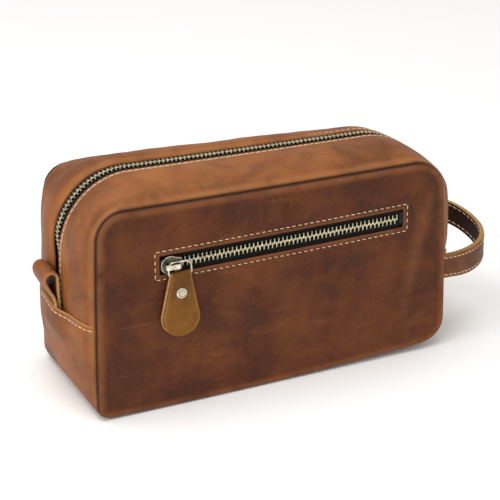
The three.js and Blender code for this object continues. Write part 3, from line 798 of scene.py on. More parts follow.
def strip_profile(face):
    """Across a gusset strip, from under its fold to its seam: (y, height, lighter, shade) rows; lighter by
    wear and painted highlight along the fold and the roll, shade painted where the seam turns down.
    """
    turns = np.radians(np.linspace(-90, 90, 8))
    fold_y = ZIP_HALF_SLOT + FOLD_RADIUS
    rows = [(fold_y + 5, -2 * FOLD_RADIUS, 0.2)]
    rows += [(fold_y - FOLD_RADIUS * math.cos(t), FOLD_RADIUS * (math.sin(t) - 1), 0.9) for t in turns]
    stitch = FOLD_STITCH[face]
    beside = [(1.2, 0.15, 0.9), (stitch - 0.8, 0, 0.8), (stitch, -0.4, 0.8), (stitch + 0.8, 0, 0.6)]
    rows += [(FOLD_TOP_Y + off, height, wear_and_sheen) for off, height, wear_and_sheen in beside]
    flats = np.concatenate([ROLL_FLAT, NEAR_ROLL])
    inset, depth = rolled(flats)
    seam = [(SEAM_EDGE - i, -d, float(seam_shine(f))) for i, d, f in zip(inset, depth, flats)][::-1]
    seam = [(*row, float(seam_dark(f))) for row, f in zip(seam, flats[::-1])]
    rows = [(*row, 0.0) for row in rows]
    first = rows[-1][0] + 1.6
    last = seam[0][0] - 1.6
    middle = [(y, 0.0, 0.15, 0.0) for y in np.linspace(first, last, 11)]
    made = np.array(sorted(rows[8:], key=lambda r: r[0]) + middle + seam)
    return np.concatenate([np.array(rows[:8]), made])


def closed_over(side, u, y):
    """Depths across the zip gusset, drawn in over the chain where the zip nears the tab."""
    if side > 0:
        return y + 0 * u
    drawn = 2.9 * smooth(CORNER_END - 14, CORNER_END + 14, np.abs(u))
    return y - drawn * np.sign(y) * np.exp(-np.maximum(np.abs(y) - ZIP_HALF_SLOT, 0) / 12)


def strip_height(face, y, place):
    """Soft waves across a strip, which rises a little between the fold and the seam, most at the back."""
    across = (np.abs(y) - ZIP_HALF_SLOT) / (EDGE_Y - ZIP_HALF_SLOT)
    free = smooth(0.12, 0.4, across) * (1 - smooth(0.75, 0.95, across))
    waves = 1.0 * cloud(place, 38, 2.2) + 0.5 * cloud(place, 14, 6.1)
    ridge = 2.0 * smooth(0, 1, face) * smooth(ZIP_HALF_SLOT, 15, y) * (1 - smooth(20, 36, y))
    ridge = ridge * (1 - smooth(10, 85, place[..., 0]))
    puff = end_puff(y, place[..., 2]) * smooth(70, 100, place[..., 0])
    return free * (waves + 0.5) + ridge + puff


def under_base(u):
    """How far the strips sink where they run beneath the base gusset's edge."""
    return 0.28 * np.maximum(np.abs(u) - ZIP_END + 2, 0)


def make_strips():
    for face, face_name in FACES:
        profile = strip_profile(face)
        for side, side_name in SIDES:
            u = side * np.array(spread_lines(0, STRIP_END, 2.2))
            across, height, wear_and_sheen, dark = profile.T
            ys = closed_over(side, u[:, None], face * across[None, :])
            place = zip_point(u[:, None], ys)
            lift = height[None, :] + strip_height(face, across[None, :], place) - under_base(u)[:, None]
            points = settle(zip_point(u[:, None], ys, lift))
            name = f"zip_strip_{face_name}_{side_name}_leather"
            strip = skin(name, points, THICK_EDGED, thickness=1.2, seam=wear_and_sheen, painted_shade=dark)
            nodes = (f"zip_strip_{face_name}_{side_name}", f"zip_strip_{face_name}_top")
            finish_lip(strip, "leather_body", face_name, side, *nodes)


def zip_line(side, y, rise, until):
    """Even steps along one half of the zip gusset at depth y: points and outward directions."""
    u = side * np.linspace(0, until, 220)
    y = closed_over(side, u, y)
    line = settle(zip_point(u, y, rise))
    above = settle(zip_point(u, y, rise + 3))
    return line, unit(above - line)


# ---------- Stitches ----------
def stitches(name, line, outwards):
    """A row of stitches along a line: each rises from its hole, lies along the leather and dips again."""
    rings, sides = 8, 7
    run = run_of(line)
    count = int(run[-1] // STITCH_PITCH)
    middles = (np.arange(count) + 0.5) * run[-1] / count
    share = np.linspace(-1, 1, rings)
    where = middles[:, None] + share[None, :] * STITCH_LENGTH / 2
    centre = at_run(line, run, where)
    out = unit(at_run(outwards, run, where))
    ahead = unit(at_run(line, run, where + 0.4) - at_run(line, run, where - 0.4))
    beside = np.cross(ahead, out)
    height = THREAD_RADIUS * (1.15 * np.cos(share * math.pi / 2) - 0.75)
    thick = THREAD_RADIUS * np.sqrt(np.maximum(1 - (0.93 * share) ** 6, 0.1))
    lean = STITCH_SLANT * share * STITCH_LENGTH / 2
    turn = circle(sides)
    up = (height[:, None] + 0.85 * thick[:, None] * np.cos(turn)[None, :])[None, ..., None]
    over = (lean[:, None] + thick[:, None] * np.sin(turn)[None, :])[None, ..., None]
    points = centre[:, :, None] + out[:, :, None] * up + beside[:, :, None] * over
    return loft_row(name, points, LOOK["thread"])


def make_zip_stitches():
    for face, face_name in FACES:
        for side, side_name in SIDES:
            y = face * (FOLD_TOP_Y + FOLD_STITCH[face])
            line, out = zip_line(side, y, -0.15, ZIP_END + 6)
            row = stitches(f"zip_stitches_{face_name}_{side_name}", line, out)
            finish_lip(row, "leather_body", face_name, side)


def make_pocket_stitches():
    """The rectangle of stitches round the pocket's window."""
    w, m = WINDOW, STITCH_MARGIN
    corners = [
        (w["left"] - m, w["low"] - m),
        (w["right"] + m, w["low"] - m),
        (w["right"] + m, w["high"] + m),
        (w["left"] - m, w["high"] + m),
    ]
    rows = []
    for k, (x, z) in enumerate(corners):
        to_x, to_z = corners[(k + 1) % 4]
        steps = np.linspace(0, 1, 60)
        xs, zs = mix(x, to_x, steps), mix(z, to_z, steps)
        far = np.full(xs.shape, 20.0)
        ys = FRONT_Y - front_panel_height(xs, zs, far) + 0.05
        line = settle(xyz(xs, ys, zs))
        out = np.broadcast_to(np.array([0.0, -1.0, 0.0]), line.shape)
        rows.append(stitches("pocket_frame_row", line, out))
    finish(join("pocket_frame_stitches", rows), "leather_front")


# ---------- The base gusset ----------
BASE_THICK = 1.9
BASE_STITCH_DROP = 3.2  # from its raw edge to its stitches


def base_top(y):
    """The height of the base gusset's raw edge, which falls from the front seam to the back one."""
    share = np.clip((y + EDGE_Y) / (2 * EDGE_Y), 0, 1)
    pulled = 6 * bell(y - 8, 18)  # raised where the tab's ends come out from beneath it
    return JOIN_Z + 8 - 4 * share**1.15 + pulled


def base_lift(y, z):
    """The base gusset laps over the strips and over the foot of the tab."""
    return 2.0 * smooth(22, 44, z) * smooth(1, 9, EDGE_Y - np.abs(y))


def tab_lift(y, z):
    """At the left end the base gusset rises further, over the two ends of the tab."""
    return 5.4 * smooth(38, 58, z) * np.exp(-(((y - 1) / 20) ** 4))


def base_skin_point(side, share, y, rise):
    """A point of the base gusset; share runs from 0 at the middle of the bottom to 1 at the raw edge."""
    end = base_end(side, base_top(y))
    plain_point = base_point(side * share * end, y)
    lift = base_lift(y, plain_point[..., 2]) + rise
    if side < 0:
        lift = lift + tab_lift(y, plain_point[..., 2])
    else:
        lift = lift + end_puff(y, plain_point[..., 2])
    return base_point(side * share * end, y, lift)


def make_base():
    seam_flats = np.concatenate([ROLL_FLAT, NEAR_ROLL])
    inset, depth = rolled(seam_flats)
    edge_y = SEAM_EDGE - inset
    middle = np.linspace(edge_y[-1] - 2.5, -(edge_y[-1] - 2.5), 23)
    across = np.concatenate([-edge_y, -middle, edge_y[::-1]])
    height = np.concatenate([-depth, 0 * middle, -depth[::-1]])
    shine = np.concatenate([seam_shine(seam_flats), 0 * middle, seam_shine(seam_flats[::-1])])
    low_part = np.linspace(0, 0.6, 14)[:-1]
    shares = np.concatenate([low_part, np.linspace(0.6, 0.97, 34), [0.98, 0.99, 0.997, 1]])
    halves = []
    for side in (-1, 1):
        s, y = np.meshgrid(shares, across, indexing="ij")
        place = base_skin_point(side, s, y, 0)
        standing = smooth(5, 25, place[..., 2])
        wave = (0.8 * cloud(place, 34, 9.4) + 0.4 * cloud(place, 13, 2.9)) * standing
        wave = wave * (1 - smooth(EDGE_Y - 14, EDGE_Y - 3, np.abs(y))) * (1 - smooth(0.93, 1, s))
        stitch_dip = -0.4 * bell(place[..., 2] - base_top(y) + BASE_STITCH_DROP, 0.9) * standing
        halves.append(base_skin_point(side, s, y, height[None, :] + wave + stitch_dip))
    points = np.concatenate([halves[0][::-1], halves[1][1:]])
    along = np.concatenate([shares[::-1], shares[1:]])[:, None]
    seam = np.maximum(np.broadcast_to(shine[None, :], points.shape[:2]), smooth(0.985, 1, along))
    dark = np.concatenate([seam_dark(seam_flats), 0 * middle, seam_dark(seam_flats[::-1])])[None, :]
    name = "base_gusset_leather"
    base = skin(name, settle(points), THICK_EDGED, thickness=BASE_THICK, seam=seam, painted_shade=dark)
    finish(base, "leather_body", "base_gusset")
    for side, side_name in SIDES:
        y = np.linspace(-SEAM_EDGE + 2, SEAM_EDGE - 2, 120)
        end = base_end(side, base_top(y))
        share = 1 - BASE_STITCH_DROP / end
        line = settle(base_skin_point(side, share, y, -0.2))
        out = unit(settle(base_skin_point(side, share, y, 3)) - line)
        row = stitches(f"base_stitches_{side_name}", line, out)
        finish(row, "leather_body")


# ---------- Zips ----------
def tooth_outline():
    """Half of a tooth in plan: (half-width along the zip, distance from the chain's middle)."""
    return [
        (0.42, CHAIN_HALF),
        (0.6, CHAIN_HALF - 0.3),
        (0.6, CHAIN_HALF - 0.7),
        (0.5, CHAIN_HALF - 1.0),
        (0.52, 1.6),
        (0.72, 0.95),
        (0.77, 0.3),
        (0.77, -0.45),
        (0.5, -0.85),
    ]


def teeth(name, place, length, face, start=0.0):
    """A row of teeth. place(s, w, h) gives the point s along the zip, w across it and h above its tape."""
    half = tooth_outline()
    outline = np.array([(s, w) for s, w in half] + [(-s, w) for s, w in half[::-1]])
    centre = np.array([0, 1.4])
    levels = [(0, 1), (TOOTH_RISE - 0.75, 1), (TOOTH_RISE - 0.25, 0.9), (TOOTH_RISE, 0.66)]
    count = int(length // TOOTH_PITCH)
    first = TOOTH_PITCH * start
    middles = first + TOOTH_PITCH * np.arange(count)
    rings = []
    for height, scale in levels:
        shape = centre + (outline - centre) * scale
        s = middles[:, None] + shape[None, :, 0]
        rings.append(place(s, face * shape[None, :, 1], height))
    obj = loft_row(name, np.stack(rings, axis=1), LOOK["teeth"])
    # Painted shade on each tooth: darkest down by the tape, lit towards its top, dimmer out along its
    # legs.
    inner = smooth(3.0, 1.2, np.abs(outline[:, 1]))
    lit = np.array([0, 0.3, 0.85, 1])[:, None] * mix(0.62, 1, inner)[None, :]
    paint(obj, "painted_shade", 1 - np.tile(lit.ravel(), count))
    apply(obj, "BEVEL", width=0.08 * MM, segments=1)
    return obj


TAPE_DEPTH = UNDER
TAPE_ROWS = (0.45, 1.2, 2.2, 3.1, 4.0, 5.0, 6.5, 9, 12, 14.3)
TAPE_RISE = (0.2, 0.35, 0.45, 0.35, 0.0, 0.0, 0.0, 0, 0, 0)


def tape_grid(place, along, face):
    """A zip tape, with the bead at its edge that the teeth clasp."""
    rows = [place(along, face * across, rise) for across, rise in zip(TAPE_ROWS, TAPE_RISE)]
    return np.stack(rows, axis=1)


def make_main_zip():
    for side, side_name in SIDES:
        u = np.linspace(0, ZIP_END + 12, 400)
        middle = zip_point(side * u, 0)
        run = run_of(middle)

        def place(s, w, h, side=side, u=u, run=run):
            where = side * np.interp(s, run, u)
            sunk = 2.8 * smooth(CORNER_END - 16, CORNER_END + 8, -where)
            return settle(zip_point(where, w, h - TAPE_DEPTH - sunk))

        for face, face_name in FACES:
            length = np.interp(ZIP_END + (2 if side < 0 else -8), u, run)
            start = 0.25 if face * side > 0 else 0.75
            row = teeth(f"main_teeth_{face_name}_{side_name}", place, length, face, start)
            end = f"{face_name}_{side_name}"
            finish_lip(row, "zip_teeth", face_name, side, f"zip_teeth_{end}", f"zip_teeth_{face_name}_top")
            along = np.linspace(0, run[-1], 150)
            grid = tape_grid(place, along, face)
            tape = skin(f"main_tape_{end}", grid, (LOOK["tape"],), thickness=CLOTH)
            finish_lip(tape, "zip_tape", face_name, side, f"zip_tape_{end}", f"zip_tape_{face_name}_top")


def pocket_place(s, w, h):
    """s along the pocket zip from the window's left edge, w up from its middle, h out from the tape."""
    return xyz(WINDOW["left"] + s, -EDGE_Y - h, POCKET_Z + w)


def make_pocket_zip():
    length = WINDOW["right"] - WINDOW["left"]
    for face, name in ((-1, "lower"), (1, "upper")):
        def place(s, w, h):
            return pocket_place(s + 3.4, w, h)  # clear of the top stops

        row = teeth(f"pocket_teeth_{name}_row", place, length - 4.6, face, 0.5 + 0.25 * face)
        finish(row, "zip_teeth", f"pocket_teeth_{name}")
        along = np.linspace(-TAPE_MARGIN, length + TAPE_MARGIN, 60)
        grid = tape_grid(pocket_place, along, face)
        tape = skin(f"pocket_tape_{name}_cloth", grid, (LOOK["tape"],), thickness=CLOTH)
        finish(tape, "zip_tape", f"pocket_tape_{name}")


# ---------- Sliders, rings and pulls ----------
# A slider's frame: X along the zip, -Y out of the bag, its tape at y = 0. Heights are out from the tape.
SLIDER_HALF = 7.25
NOSE = 6.3
TAIL = 5.3
ROOF = 3.0
DOME = 4.6
BRIDGE_TOP = 9.0
LEG_CENTRE = 4.9
RING_HALF = 8.2
RING_ABOVE = 2.3
RING_BELOW = 6.5
RING_CORNER = {True: 4.2, False: 1.9}  # of the wire's upper corners and of its lower ones
RING_WIRE = 0.75
RING_TOP_RISE = 6.05
RING_BAR_RISE = 7.2
PULL_TOP = 7.25
PULL_WIDE = 13.25
PULL_FOLD = 2.2
PULL_DROP = 51
PULL_LEAN = math.radians(11)
RIVET_DROP = 19.5


def slider_outline(scale=1.0):
    """The slider in plan: round at the nose and down its sides, cut off short at its tail."""
    turns = np.radians(np.linspace(8, 128, 13))
    side = [(-0.9 - (SLIDER_HALF - 0.9) * math.cos(t), NOSE * math.sin(t)) for t in turns]
    side += [(4.6, TAIL - 0.6), (6.4, TAIL - 1.1), (SLIDER_HALF, TAIL - 1.5)]
    around = side + [(x, -w) for x, w in side[::-1]]
    return np.array(around) * scale


def slider_mesh(name):
    """A domed roof over the chain, with flanges down both sides that hold the teeth."""
    rises = (0.0, 0.15, 0.9, 1.25, 1.6, 1.9, 2.1, 2.2)
    scales = (0.96, 1.0, 1.0, 0.96, 0.86, 0.7, 0.45, 0.15)
    levels = [(ROOF + rise, scale) for rise, scale in zip(rises, scales)]
    roof = [np.array([(x, -h, w) for x, w in slider_outline(scale)]) for h, scale in levels]
    roof_mesh = loft("roof", roof)
    # Painted shade and highlight: the dome darker towards its top and underside, left bright along its
    # rounded edge.
    shade = [0.6, 0.3, 0, 0, 0.35, 0.62, 0.72, 0.72]
    paint(roof_mesh, "painted_shade", np.repeat(shade, len(roof[0])))
    parts = [roof_mesh]
    for side in (-1, 1):
        reach = [(-4.6, 4.1, 4.5), (-3, 4.3, 5.3), (-1, 4.3, 5.8), (2.5, 4.2, 5.2), (6.9, 3.0, 3.7)]
        rings = []
        for x, inner, outer in reach:
            corners = ((-0.5, inner), (-0.5, outer), (-ROOF - 0.4, outer), (-ROOF - 0.4, inner))
            rings.append([(x, y, side * w) for y, w in corners])
        parts.append(loft("flange", rings))
    obj = join(name, parts)
    dress(obj, LOOK["slider"])
    return obj


def bridge_mesh(name):
    """The bridge over the slider, a flat bar bent down at both ends."""
    half, top, foot = LEG_CENTRE, BRIDGE_TOP - 0.55, DOME - 0.6
    bends = np.radians(np.linspace(0, 90, 6))
    left = [(-half + 1.4 - 1.4 * math.cos(b), top - 1.4 + 1.4 * math.sin(b)) for b in bends]
    path = [(-half - 0.15, foot), (-half - 0.05, top - 3), *left]
    path = path + [(-x, h) for x, h in path[::-1]]
    path = np.array(path)
    ahead = np.gradient(path, axis=0)
    ahead /= np.linalg.norm(ahead, axis=1, keepdims=True)
    turn = circle(14)
    rings = []
    for (x, h), (dx, dh) in zip(path, ahead):
        wide = 1.9 * np.sign(np.cos(turn)) * np.abs(np.cos(turn)) ** 0.6
        thick = 0.65 * np.sign(np.sin(turn)) * np.abs(np.sin(turn)) ** 0.6
        rings.append(xyz(x - dh * thick, -(h + dx * thick), wide))
    obj = join(name, [loft("bar", rings), slider_rim()])
    dress(obj, LOOK["wire"])
    return obj


def slider_rim():
    """A bright wire ring round the slider's roof: a painted highlight along its rounded edge."""
    outline = slider_outline(0.985)
    out = unit(outline)
    turn = circle(8)
    rings = []
    for (x, w), (dx, dw) in zip(outline, out):
        reach = 0.34 * np.cos(turn)
        rings.append(xyz(x + dx * reach, -(ROOF + 1.0 + 0.34 * np.sin(turn)), w + dw * reach))
    return loft("rim", rings, close=True)


def ring_mesh(name):
    """A wire bent into a rounded oblong, leaning out from the bag towards its lower bar."""
    centres = []
    for quarter, (sx, top) in enumerate(((1, True), (-1, True), (-1, False), (1, False))):
        corner = RING_CORNER[top]
        x = sx * (RING_HALF - corner)
        z = RING_ABOVE - corner if top else -RING_BELOW + corner
        for angle in np.radians(np.linspace(quarter * 90, quarter * 90 + 90, 9)):
            centres.append((x + corner * math.cos(angle), z + corner * math.sin(angle), angle))
    turn = circle(12)
    rings = []
    for x, z, angle in centres:
        rise = mix(RING_TOP_RISE, RING_BAR_RISE, (RING_ABOVE - z) / (RING_ABOVE + RING_BELOW))
        flat = np.cos(turn)
        out = xyz(flat * math.cos(angle), np.sin(turn), flat * math.sin(angle))
        rings.append(np.array([x, -rise, z]) + RING_WIRE * out)
    obj = loft(name, rings, close=True)
    dress(obj, LOOK["wire"])
    return obj


def pull_half_width(z):
    """Half the width of the teardrop at height z below the ring's leg."""
    centre = -PULL_DROP + PULL_WIDE
    tangent_z = centre + PULL_WIDE * math.sin(PULL_LEAN)
    shoulder = -RING_BELOW - 1
    if z < tangent_z:
        return math.sqrt(max(PULL_WIDE**2 - (z - centre) ** 2, 0.3))
    t = min(max((z - tangent_z) / (shoulder - tangent_z), 0), 1)
    return mix(PULL_WIDE * math.cos(PULL_LEAN), PULL_TOP, t**0.92)


def pull_mesh(name):
    """A teardrop of leather folded over the ring's bar: a front leaf, the fold and a back leaf."""
    centre = -PULL_DROP + PULL_WIDE
    low = [centre - PULL_WIDE * math.sin(a) for a in np.radians(np.linspace(88, -11, 26))]
    high = list(np.linspace(low[-1], -RING_BELOW, 17)[1:])
    path = [(-PULL_FOLD, z, 0.0) for z in low + high]
    for turn in np.radians(np.linspace(0, 180, 9)[1:-1]):
        path.append((-PULL_FOLD * math.cos(turn), -RING_BELOW + PULL_FOLD * math.sin(turn), 0.0))
    path += [(PULL_FOLD - 0.1, z, -0.7) for z in (low + high)[::-1]]
    rim = [-1, -0.985, -0.95, -0.88]
    across = np.concatenate([rim, np.linspace(-0.78, 0.78, 13), [-share for share in rim[::-1]]])
    points = []
    for y, z, shift in path:
        half = pull_half_width(z)
        edge = 0.3 * np.abs(across) ** 14
        swing = np.sign(y) * edge * min(1, abs(y))
        wave = 0.18 * cloud(xyz(across * half, z, y), 9, 7.3) * np.sign(y)
        rivet = np.hypot(across * half, z + RIVET_DROP)
        press = 0.45 * bell(rivet, 5.2) * np.sign(y)
        x = across * half + shift * min(1, (-z - RING_BELOW) / 20 + 0.2)
        out = -RING_BAR_RISE + y - swing - press + wave
        points.append(xyz(x, out, z))
    points = np.array(points)
    obj = make_object(name, points, grid_faces(*points.shape[:2]))
    rim = smooth(0.8, 0.97, np.abs(across))
    paint(obj, "seam", np.broadcast_to(0.9 * rim[None, :], points.shape[:2]))
    first = obj.data.polygons[len(across) // 2]
    if first.normal.y > 0:
        obj.data.flip_normals()
    dress(obj, LOOK["pull"], LOOK["edge"])
    apply(obj, "SOLIDIFY", thickness=1.9 * MM, offset=-1, material_offset_rim=1)
    return obj


def rivet_mesh(name):
    """A capped rivet: a low dome with a pressed ring, and a plain cap behind."""
    face = PULL_FOLD - 0.35
    cap = [(0.02, 1.25), (1.2, 1.2), (2.0, 1.05), (2.25, 0.85), (2.5, 0.95), (3.2, 0.85), (3.75, 0.5)]
    cap += [(4.0, 0.1), (3.9, 0), (1.4, -0.1)]  # the rim, the underside and the shaft
    profile = [(radius, -(face + h)) for radius, h in cap]
    profile += [(radius, face + h) for radius, h in cap[::-1]]
    turn = circle(40)
    rings = []
    for radius, y in profile:
        z = radius * np.sin(turn) - RIVET_DROP
        rings.append(xyz(radius * np.cos(turn), y - RING_BAR_RISE, z))
    obj = loft(name, rings)
    dress(obj, LOOK["rivet"])
    # Painted shade in the cap's pressed ring, under its rim and down the shaft.
    depth = [0.25, 0, 0.2, 1, 0.2, 0, 0.2, 0.7, 1, 1]
    paint(obj, "painted_shade", np.repeat(depth + depth[::-1], len(turn)))
    return obj


def placed(obj, matrix):
    """Moves a piece from its own frame, in millimetres, to its place on the bag."""
    obj.data.transform(Matrix.Scale(MM, 4) @ matrix @ Matrix.Scale(1 / MM, 4))
    obj.data.update()
    return obj


def make_slider(name, slider_frame, pull_frame):
    slider = placed(slider_mesh(f"{name}_slider_body"), slider_frame)
    finish(slider, "slider_metal", f"{name}_slider", body=f"{name}_slider")
    bridge = placed(bridge_mesh(f"{name}_slider_bridge"), slider_frame)
    finish(bridge, "slider_metal", body=f"{name}_slider")
    ring = placed(ring_mesh(f"{name}_ring_wire"), pull_frame)
    finish(ring, "slider_metal", f"{name}_pull_ring", body=f"{name}_ring")
    pull = placed(pull_mesh(f"{name}_pull_leaves"), pull_frame)
    finish(pull, "leather_pull", f"{name}_pull_leather", body=f"{name}_pull")
    rivet = placed(rivet_mesh(f"{name}_rivet"), pull_frame)
    finish(rivet, "rivet_metal", f"{name}_pull_rivet", body=f"{name}_pull")


def middle_of(name, axis):
    low, high = node_box(name)
    return (low[axis] + high[axis]) / 2


def make_sliders():
    x = middle_of("pocket_slider", 0)
    z = middle_of("pocket_slider", 2)
    make_slider(
        "pocket",
        Matrix.Translation((x, -EDGE_Y, z)),
        Matrix.Translation((x + LEG_CENTRE, -EDGE_Y, z)),
    )
    tape_x = HALF_LENGTH + END_BULGE - UNDER
    z = middle_of("main_slider", 2)
    turned = Matrix(((0, -1, 0, tape_x), (0, 0, -1, 0), (1, 0, 0, z), (0, 0, 0, 1)))
    quarter = Matrix.Translation((tape_x, 0, z - LEG_CENTRE)) @ Matrix.Rotation(math.pi / 2, 4, "Z")
    make_slider("main", turned, quarter)


# ---------- Handle ----------
STRAP_HALF = (node_box("handle_root_front")[1][2] - node_box("handle_root_front")[0][2]) / 2 - 0.1
HANDLE_ROOT = HALF_LENGTH + 1
HANDLE_HALF = 47
HANDLE_REACH = node_box("handle_outer")[1][0] - HANDLE_ROOT - 3
HANDLE_Z = 61.5
HANDLE_SAG = 0.15
HANDLE_RISE = 17  # the back root is sewn in higher than the front one
BEND_FROM = (133, 0, 60)  # the span given for the strap's bend, by its roots, from here to there; nothing bends it
BEND_TO = (162, 0, 60)
STRAP_LAYER = 1.6
STRAP_NARROWING = 0.14


def strap_frames(steps=90, root=-9.0):
    """Along the handle's loop: middle of the strap, outward direction and how far out it stands."""
    turn = np.linspace(-math.pi / 2, math.pi / 2, steps)
    straight = np.linspace(root, 0, 8)[:-1]
    fullness = mix(1.3, 0.9, smooth(-1.2, 0.6, turn))
    x = HANDLE_ROOT + np.concatenate([straight, HANDLE_REACH * np.cos(turn) ** fullness, straight[::-1]])
    y = HANDLE_HALF * np.concatenate([0 * straight - 1, np.sin(turn), 0 * straight + 1])
    ahead = unit(xyz(np.gradient(x), np.gradient(y), 0))
    out = xyz(ahead[:, 1], -ahead[:, 0], 0)
    z = HANDLE_Z - HANDLE_SAG * np.maximum(x - HANDLE_ROOT, 0) - 3.5 + strap_turned(y) * HANDLE_RISE
    return xyz(x, y, z), out


def strap_turned(y):
    """How far the strap has twisted, from its front root to its back one."""
    return smooth(-56, 50, y)


def strap_mesh(name, inner, outer, face_material):
    """One layer of the strap, between two offsets from the loop's middle surface."""
    middle, out = strap_frames()
    half = STRAP_HALF
    corner = 0.45
    outline = [(outer - corner, -half), (outer - 0.1, -half + 0.4)]
    outline += [(outer, v) for v in np.linspace(-half + 1.2, half - 1.2, 11)]
    outline += [(outer - 0.1, half - 0.4), (outer - corner, half), (inner, half)]
    outline += [(inner, v) for v in np.linspace(half - 1.2, -half + 1.2, 7)]
    outline = np.array([*outline, (inner, -half)])
    rings = []
    for point, direction in zip(middle, out):
        narrow = 1 - STRAP_NARROWING * strap_turned(point[1])
        rings.append(point + direction * outline[:, :1] + np.array([0, 0, narrow]) * outline[:, 1:])
    rings = strap_waved(np.array(rings), out[:, None, :])
    obj = loft(name, rings)
    edge = np.array([1.0 if abs(v) > half - 1.3 else 0.2 for _, v in outline])
    paint(obj, "seam", np.broadcast_to(edge[None, :], rings.shape[:2]))
    dress(obj, face_material, LOOK["edge"])
    for face in obj.data.polygons:
        if abs(face.normal.z) > 0.8 and len(face.vertices) == 4:
            face.material_index = 1
    return obj


def strap_waved(points, out):
    """The strap's soft waves. It follows the bag where it is sewn in, and keeps its own shape beyond."""
    wave = 0.5 * cloud(points, 40, 4.4) + 0.12 * cloud(points, 9, 1.9)
    rise = 0.6 * cloud(points, 45, 8.8) * smooth(HANDLE_ROOT, HANDLE_ROOT + 25, points[..., 0])
    points = points + xyz(0, 0, rise) + out * wave[..., None] * 0.5
    share = 1 - smooth(HALF_LENGTH + 4, HALF_LENGTH + 40, points[..., 0])
    return mix(points, settle(points), share[..., None])


def finish_handle(obj, slot, *nodes):
    finish_blended(obj, slot, "handle", BEND_FROM, BEND_TO, *nodes)


def make_handle():
    strap = strap_mesh("handle_outer_strap", 0.03, STRAP_LAYER, LOOK["strap"])
    finish_handle(strap, "leather_strap", "handle_outer", "handle_root_front", "handle_root_back")
    strap = strap_mesh("handle_inner_strap", -0.03, -STRAP_LAYER, LOOK["strap_inside"])
    finish_handle(strap, "leather_strap_inside", "handle_inner")
    middle, out = strap_frames(200, root=-3)
    for face, name in ((1, "outer"), (-1, "inner")):
        rows = []
        for edge in (-1, 1):
            line = middle + out * face * (STRAP_LAYER - 0.02)
            narrow = 1 - STRAP_NARROWING * strap_turned(middle[:, 1])
            line[:, 2] += edge * (STRAP_HALF - 2.6) * narrow
            rows.append(stitches("handle_row", strap_waved(line, out), out * face))
        finish_handle(join(f"handle_stitches_{name}", rows), "leather_strap")


# ---------- Tab ----------
def make_tab():
    """A short strip folded into a loop over the zip's left end, its two ends sewn beneath the base."""
    low, high = node_box("end_tab")
    face_x, outer_x = high[0], low[0]
    radius = (face_x - outer_x) / 2
    centre_x = face_x - radius
    centre_z = high[2] - radius
    inner_leaf = [(face_x, z) for z in np.linspace(low[2] - 2, centre_z, 16)]
    turns = np.radians(np.linspace(0, 180, 17)[1:-1])
    crown = [(centre_x + radius * math.cos(t), centre_z + radius * math.sin(t)) for t in turns]
    foot_x = face_x - 2 * LEATHER - 0.4
    meet_z = low[2] + 9
    outer_z = np.linspace(centre_z, meet_z, 14)
    outer_leaf = list(zip(mix(outer_x, foot_x, smooth(centre_z, meet_z, outer_z)), outer_z))
    outer_leaf += [(foot_x, z) for z in np.linspace(meet_z, low[2] - 2, 8)[1:]]
    path = inner_leaf + crown + outer_leaf
    edge = np.array([0, 0.25, 0.8])
    flat_part = np.linspace(low[1] + 2.2, high[1] - 2.2, 9)
    ys = np.concatenate([low[1] + edge, flat_part, high[1] - edge[::-1]])
    rows = []
    for x, z in path:
        narrow = 1 - 0.06 * math.exp(-(((z - centre_z) / 9) ** 2))
        y = 1 + (ys - 1) * narrow
        place = xyz(x, y, z)
        rim = np.minimum(ys - low[1], high[1] - ys)
        sink = 0.25 * np.exp(-rim / 0.5)
        wave = 0.35 * cloud(place, 13, 3.3)
        away = np.array([x - centre_x, 0, z - centre_z])
        away[2] = max(away[2], 0)
        away = away / max(np.linalg.norm(away), 1e-6)
        rows.append(place + away * (wave - sink)[:, None])
    points = settle(np.array(rows))
    obj = make_object("end_tab_loop", points, grid_faces(*points.shape[:2]))
    rim = np.minimum(ys - low[1], high[1] - ys)
    paint(obj, "seam", np.broadcast_to(np.exp(-rim / 2.2)[None, :], points.shape[:2]))
    top = obj.data.polygons[(len(inner_leaf) + 7) * (len(ys) - 1) + 5]
    if top.normal.z < 0:
        obj.data.flip_normals()
    dress(obj, LOOK["body"], LOOK["edge"])
    apply(obj, "SOLIDIFY", thickness=LEATHER * MM, offset=-1, material_offset_rim=1)
    foot = (face_x, 0, low[2])
    finish_blended(obj, "leather_body", "end_tab", foot, (face_x, 0, low[2] + 14), "end_tab")


# ---------- Linings and pocket ----------
def make_seam_allowances():
    """Turned leather inside each panel's top seam, which shows when a lip is folded open."""
    sewn = [(0.2, -3.4), (-0.6, -4.4), (-1.6, -5.0), (-3.4, -5.3), (-6, -5.4), (-9, -5.4)]
    folded = [(0.3, -2.4), (-0.2, -3.2), (-0.9, -3.9), (-2, -4.2), (-3, -4.0), (-4.2, -3.6)]
    folded += [(-6, -3.0), (-9, -2.6)]
    for face, face_name in FACES:
        wide = np.linspace(-(HALF_LENGTH - 22), HALF_LENGTH - 24, 60)
        allowance = allowance_mesh(f"seam_allowance_{face_name}", face, wide, sewn)
        finish(allowance, "leather_body")
        hinge = allowance_mesh(f"lip_fold_{face_name}", face, np.linspace(-80, 80, 54), folded)
        start = (0, face * EDGE_Y, HEIGHT)
        end = (0, face * (EDGE_Y - 6), HEIGHT)
        finish_blended(hinge, "leather_body", f"{face_name}_lip", start, end)


def allowance_mesh(name, face, x, section):
    """Leather along a panel's top seam, narrower where a lip begins to bend away from the corner."""
    narrowing = 1 - 0.7 * smooth(BLEND_TO + 3, BLEND_TO + 33, np.abs(x))
    rows = []
    for depth, down in section:
        inward = depth * narrowing
        wave = 0.3 * cloud(xyz(x, inward, 31 * face), 17, 4.6)
        rows.append(xyz(x, face * (EDGE_Y + inward), HEIGHT + down + wave))
    return skin(name, settle(np.array(rows)), THICK_EDGED, thickness=1.1)


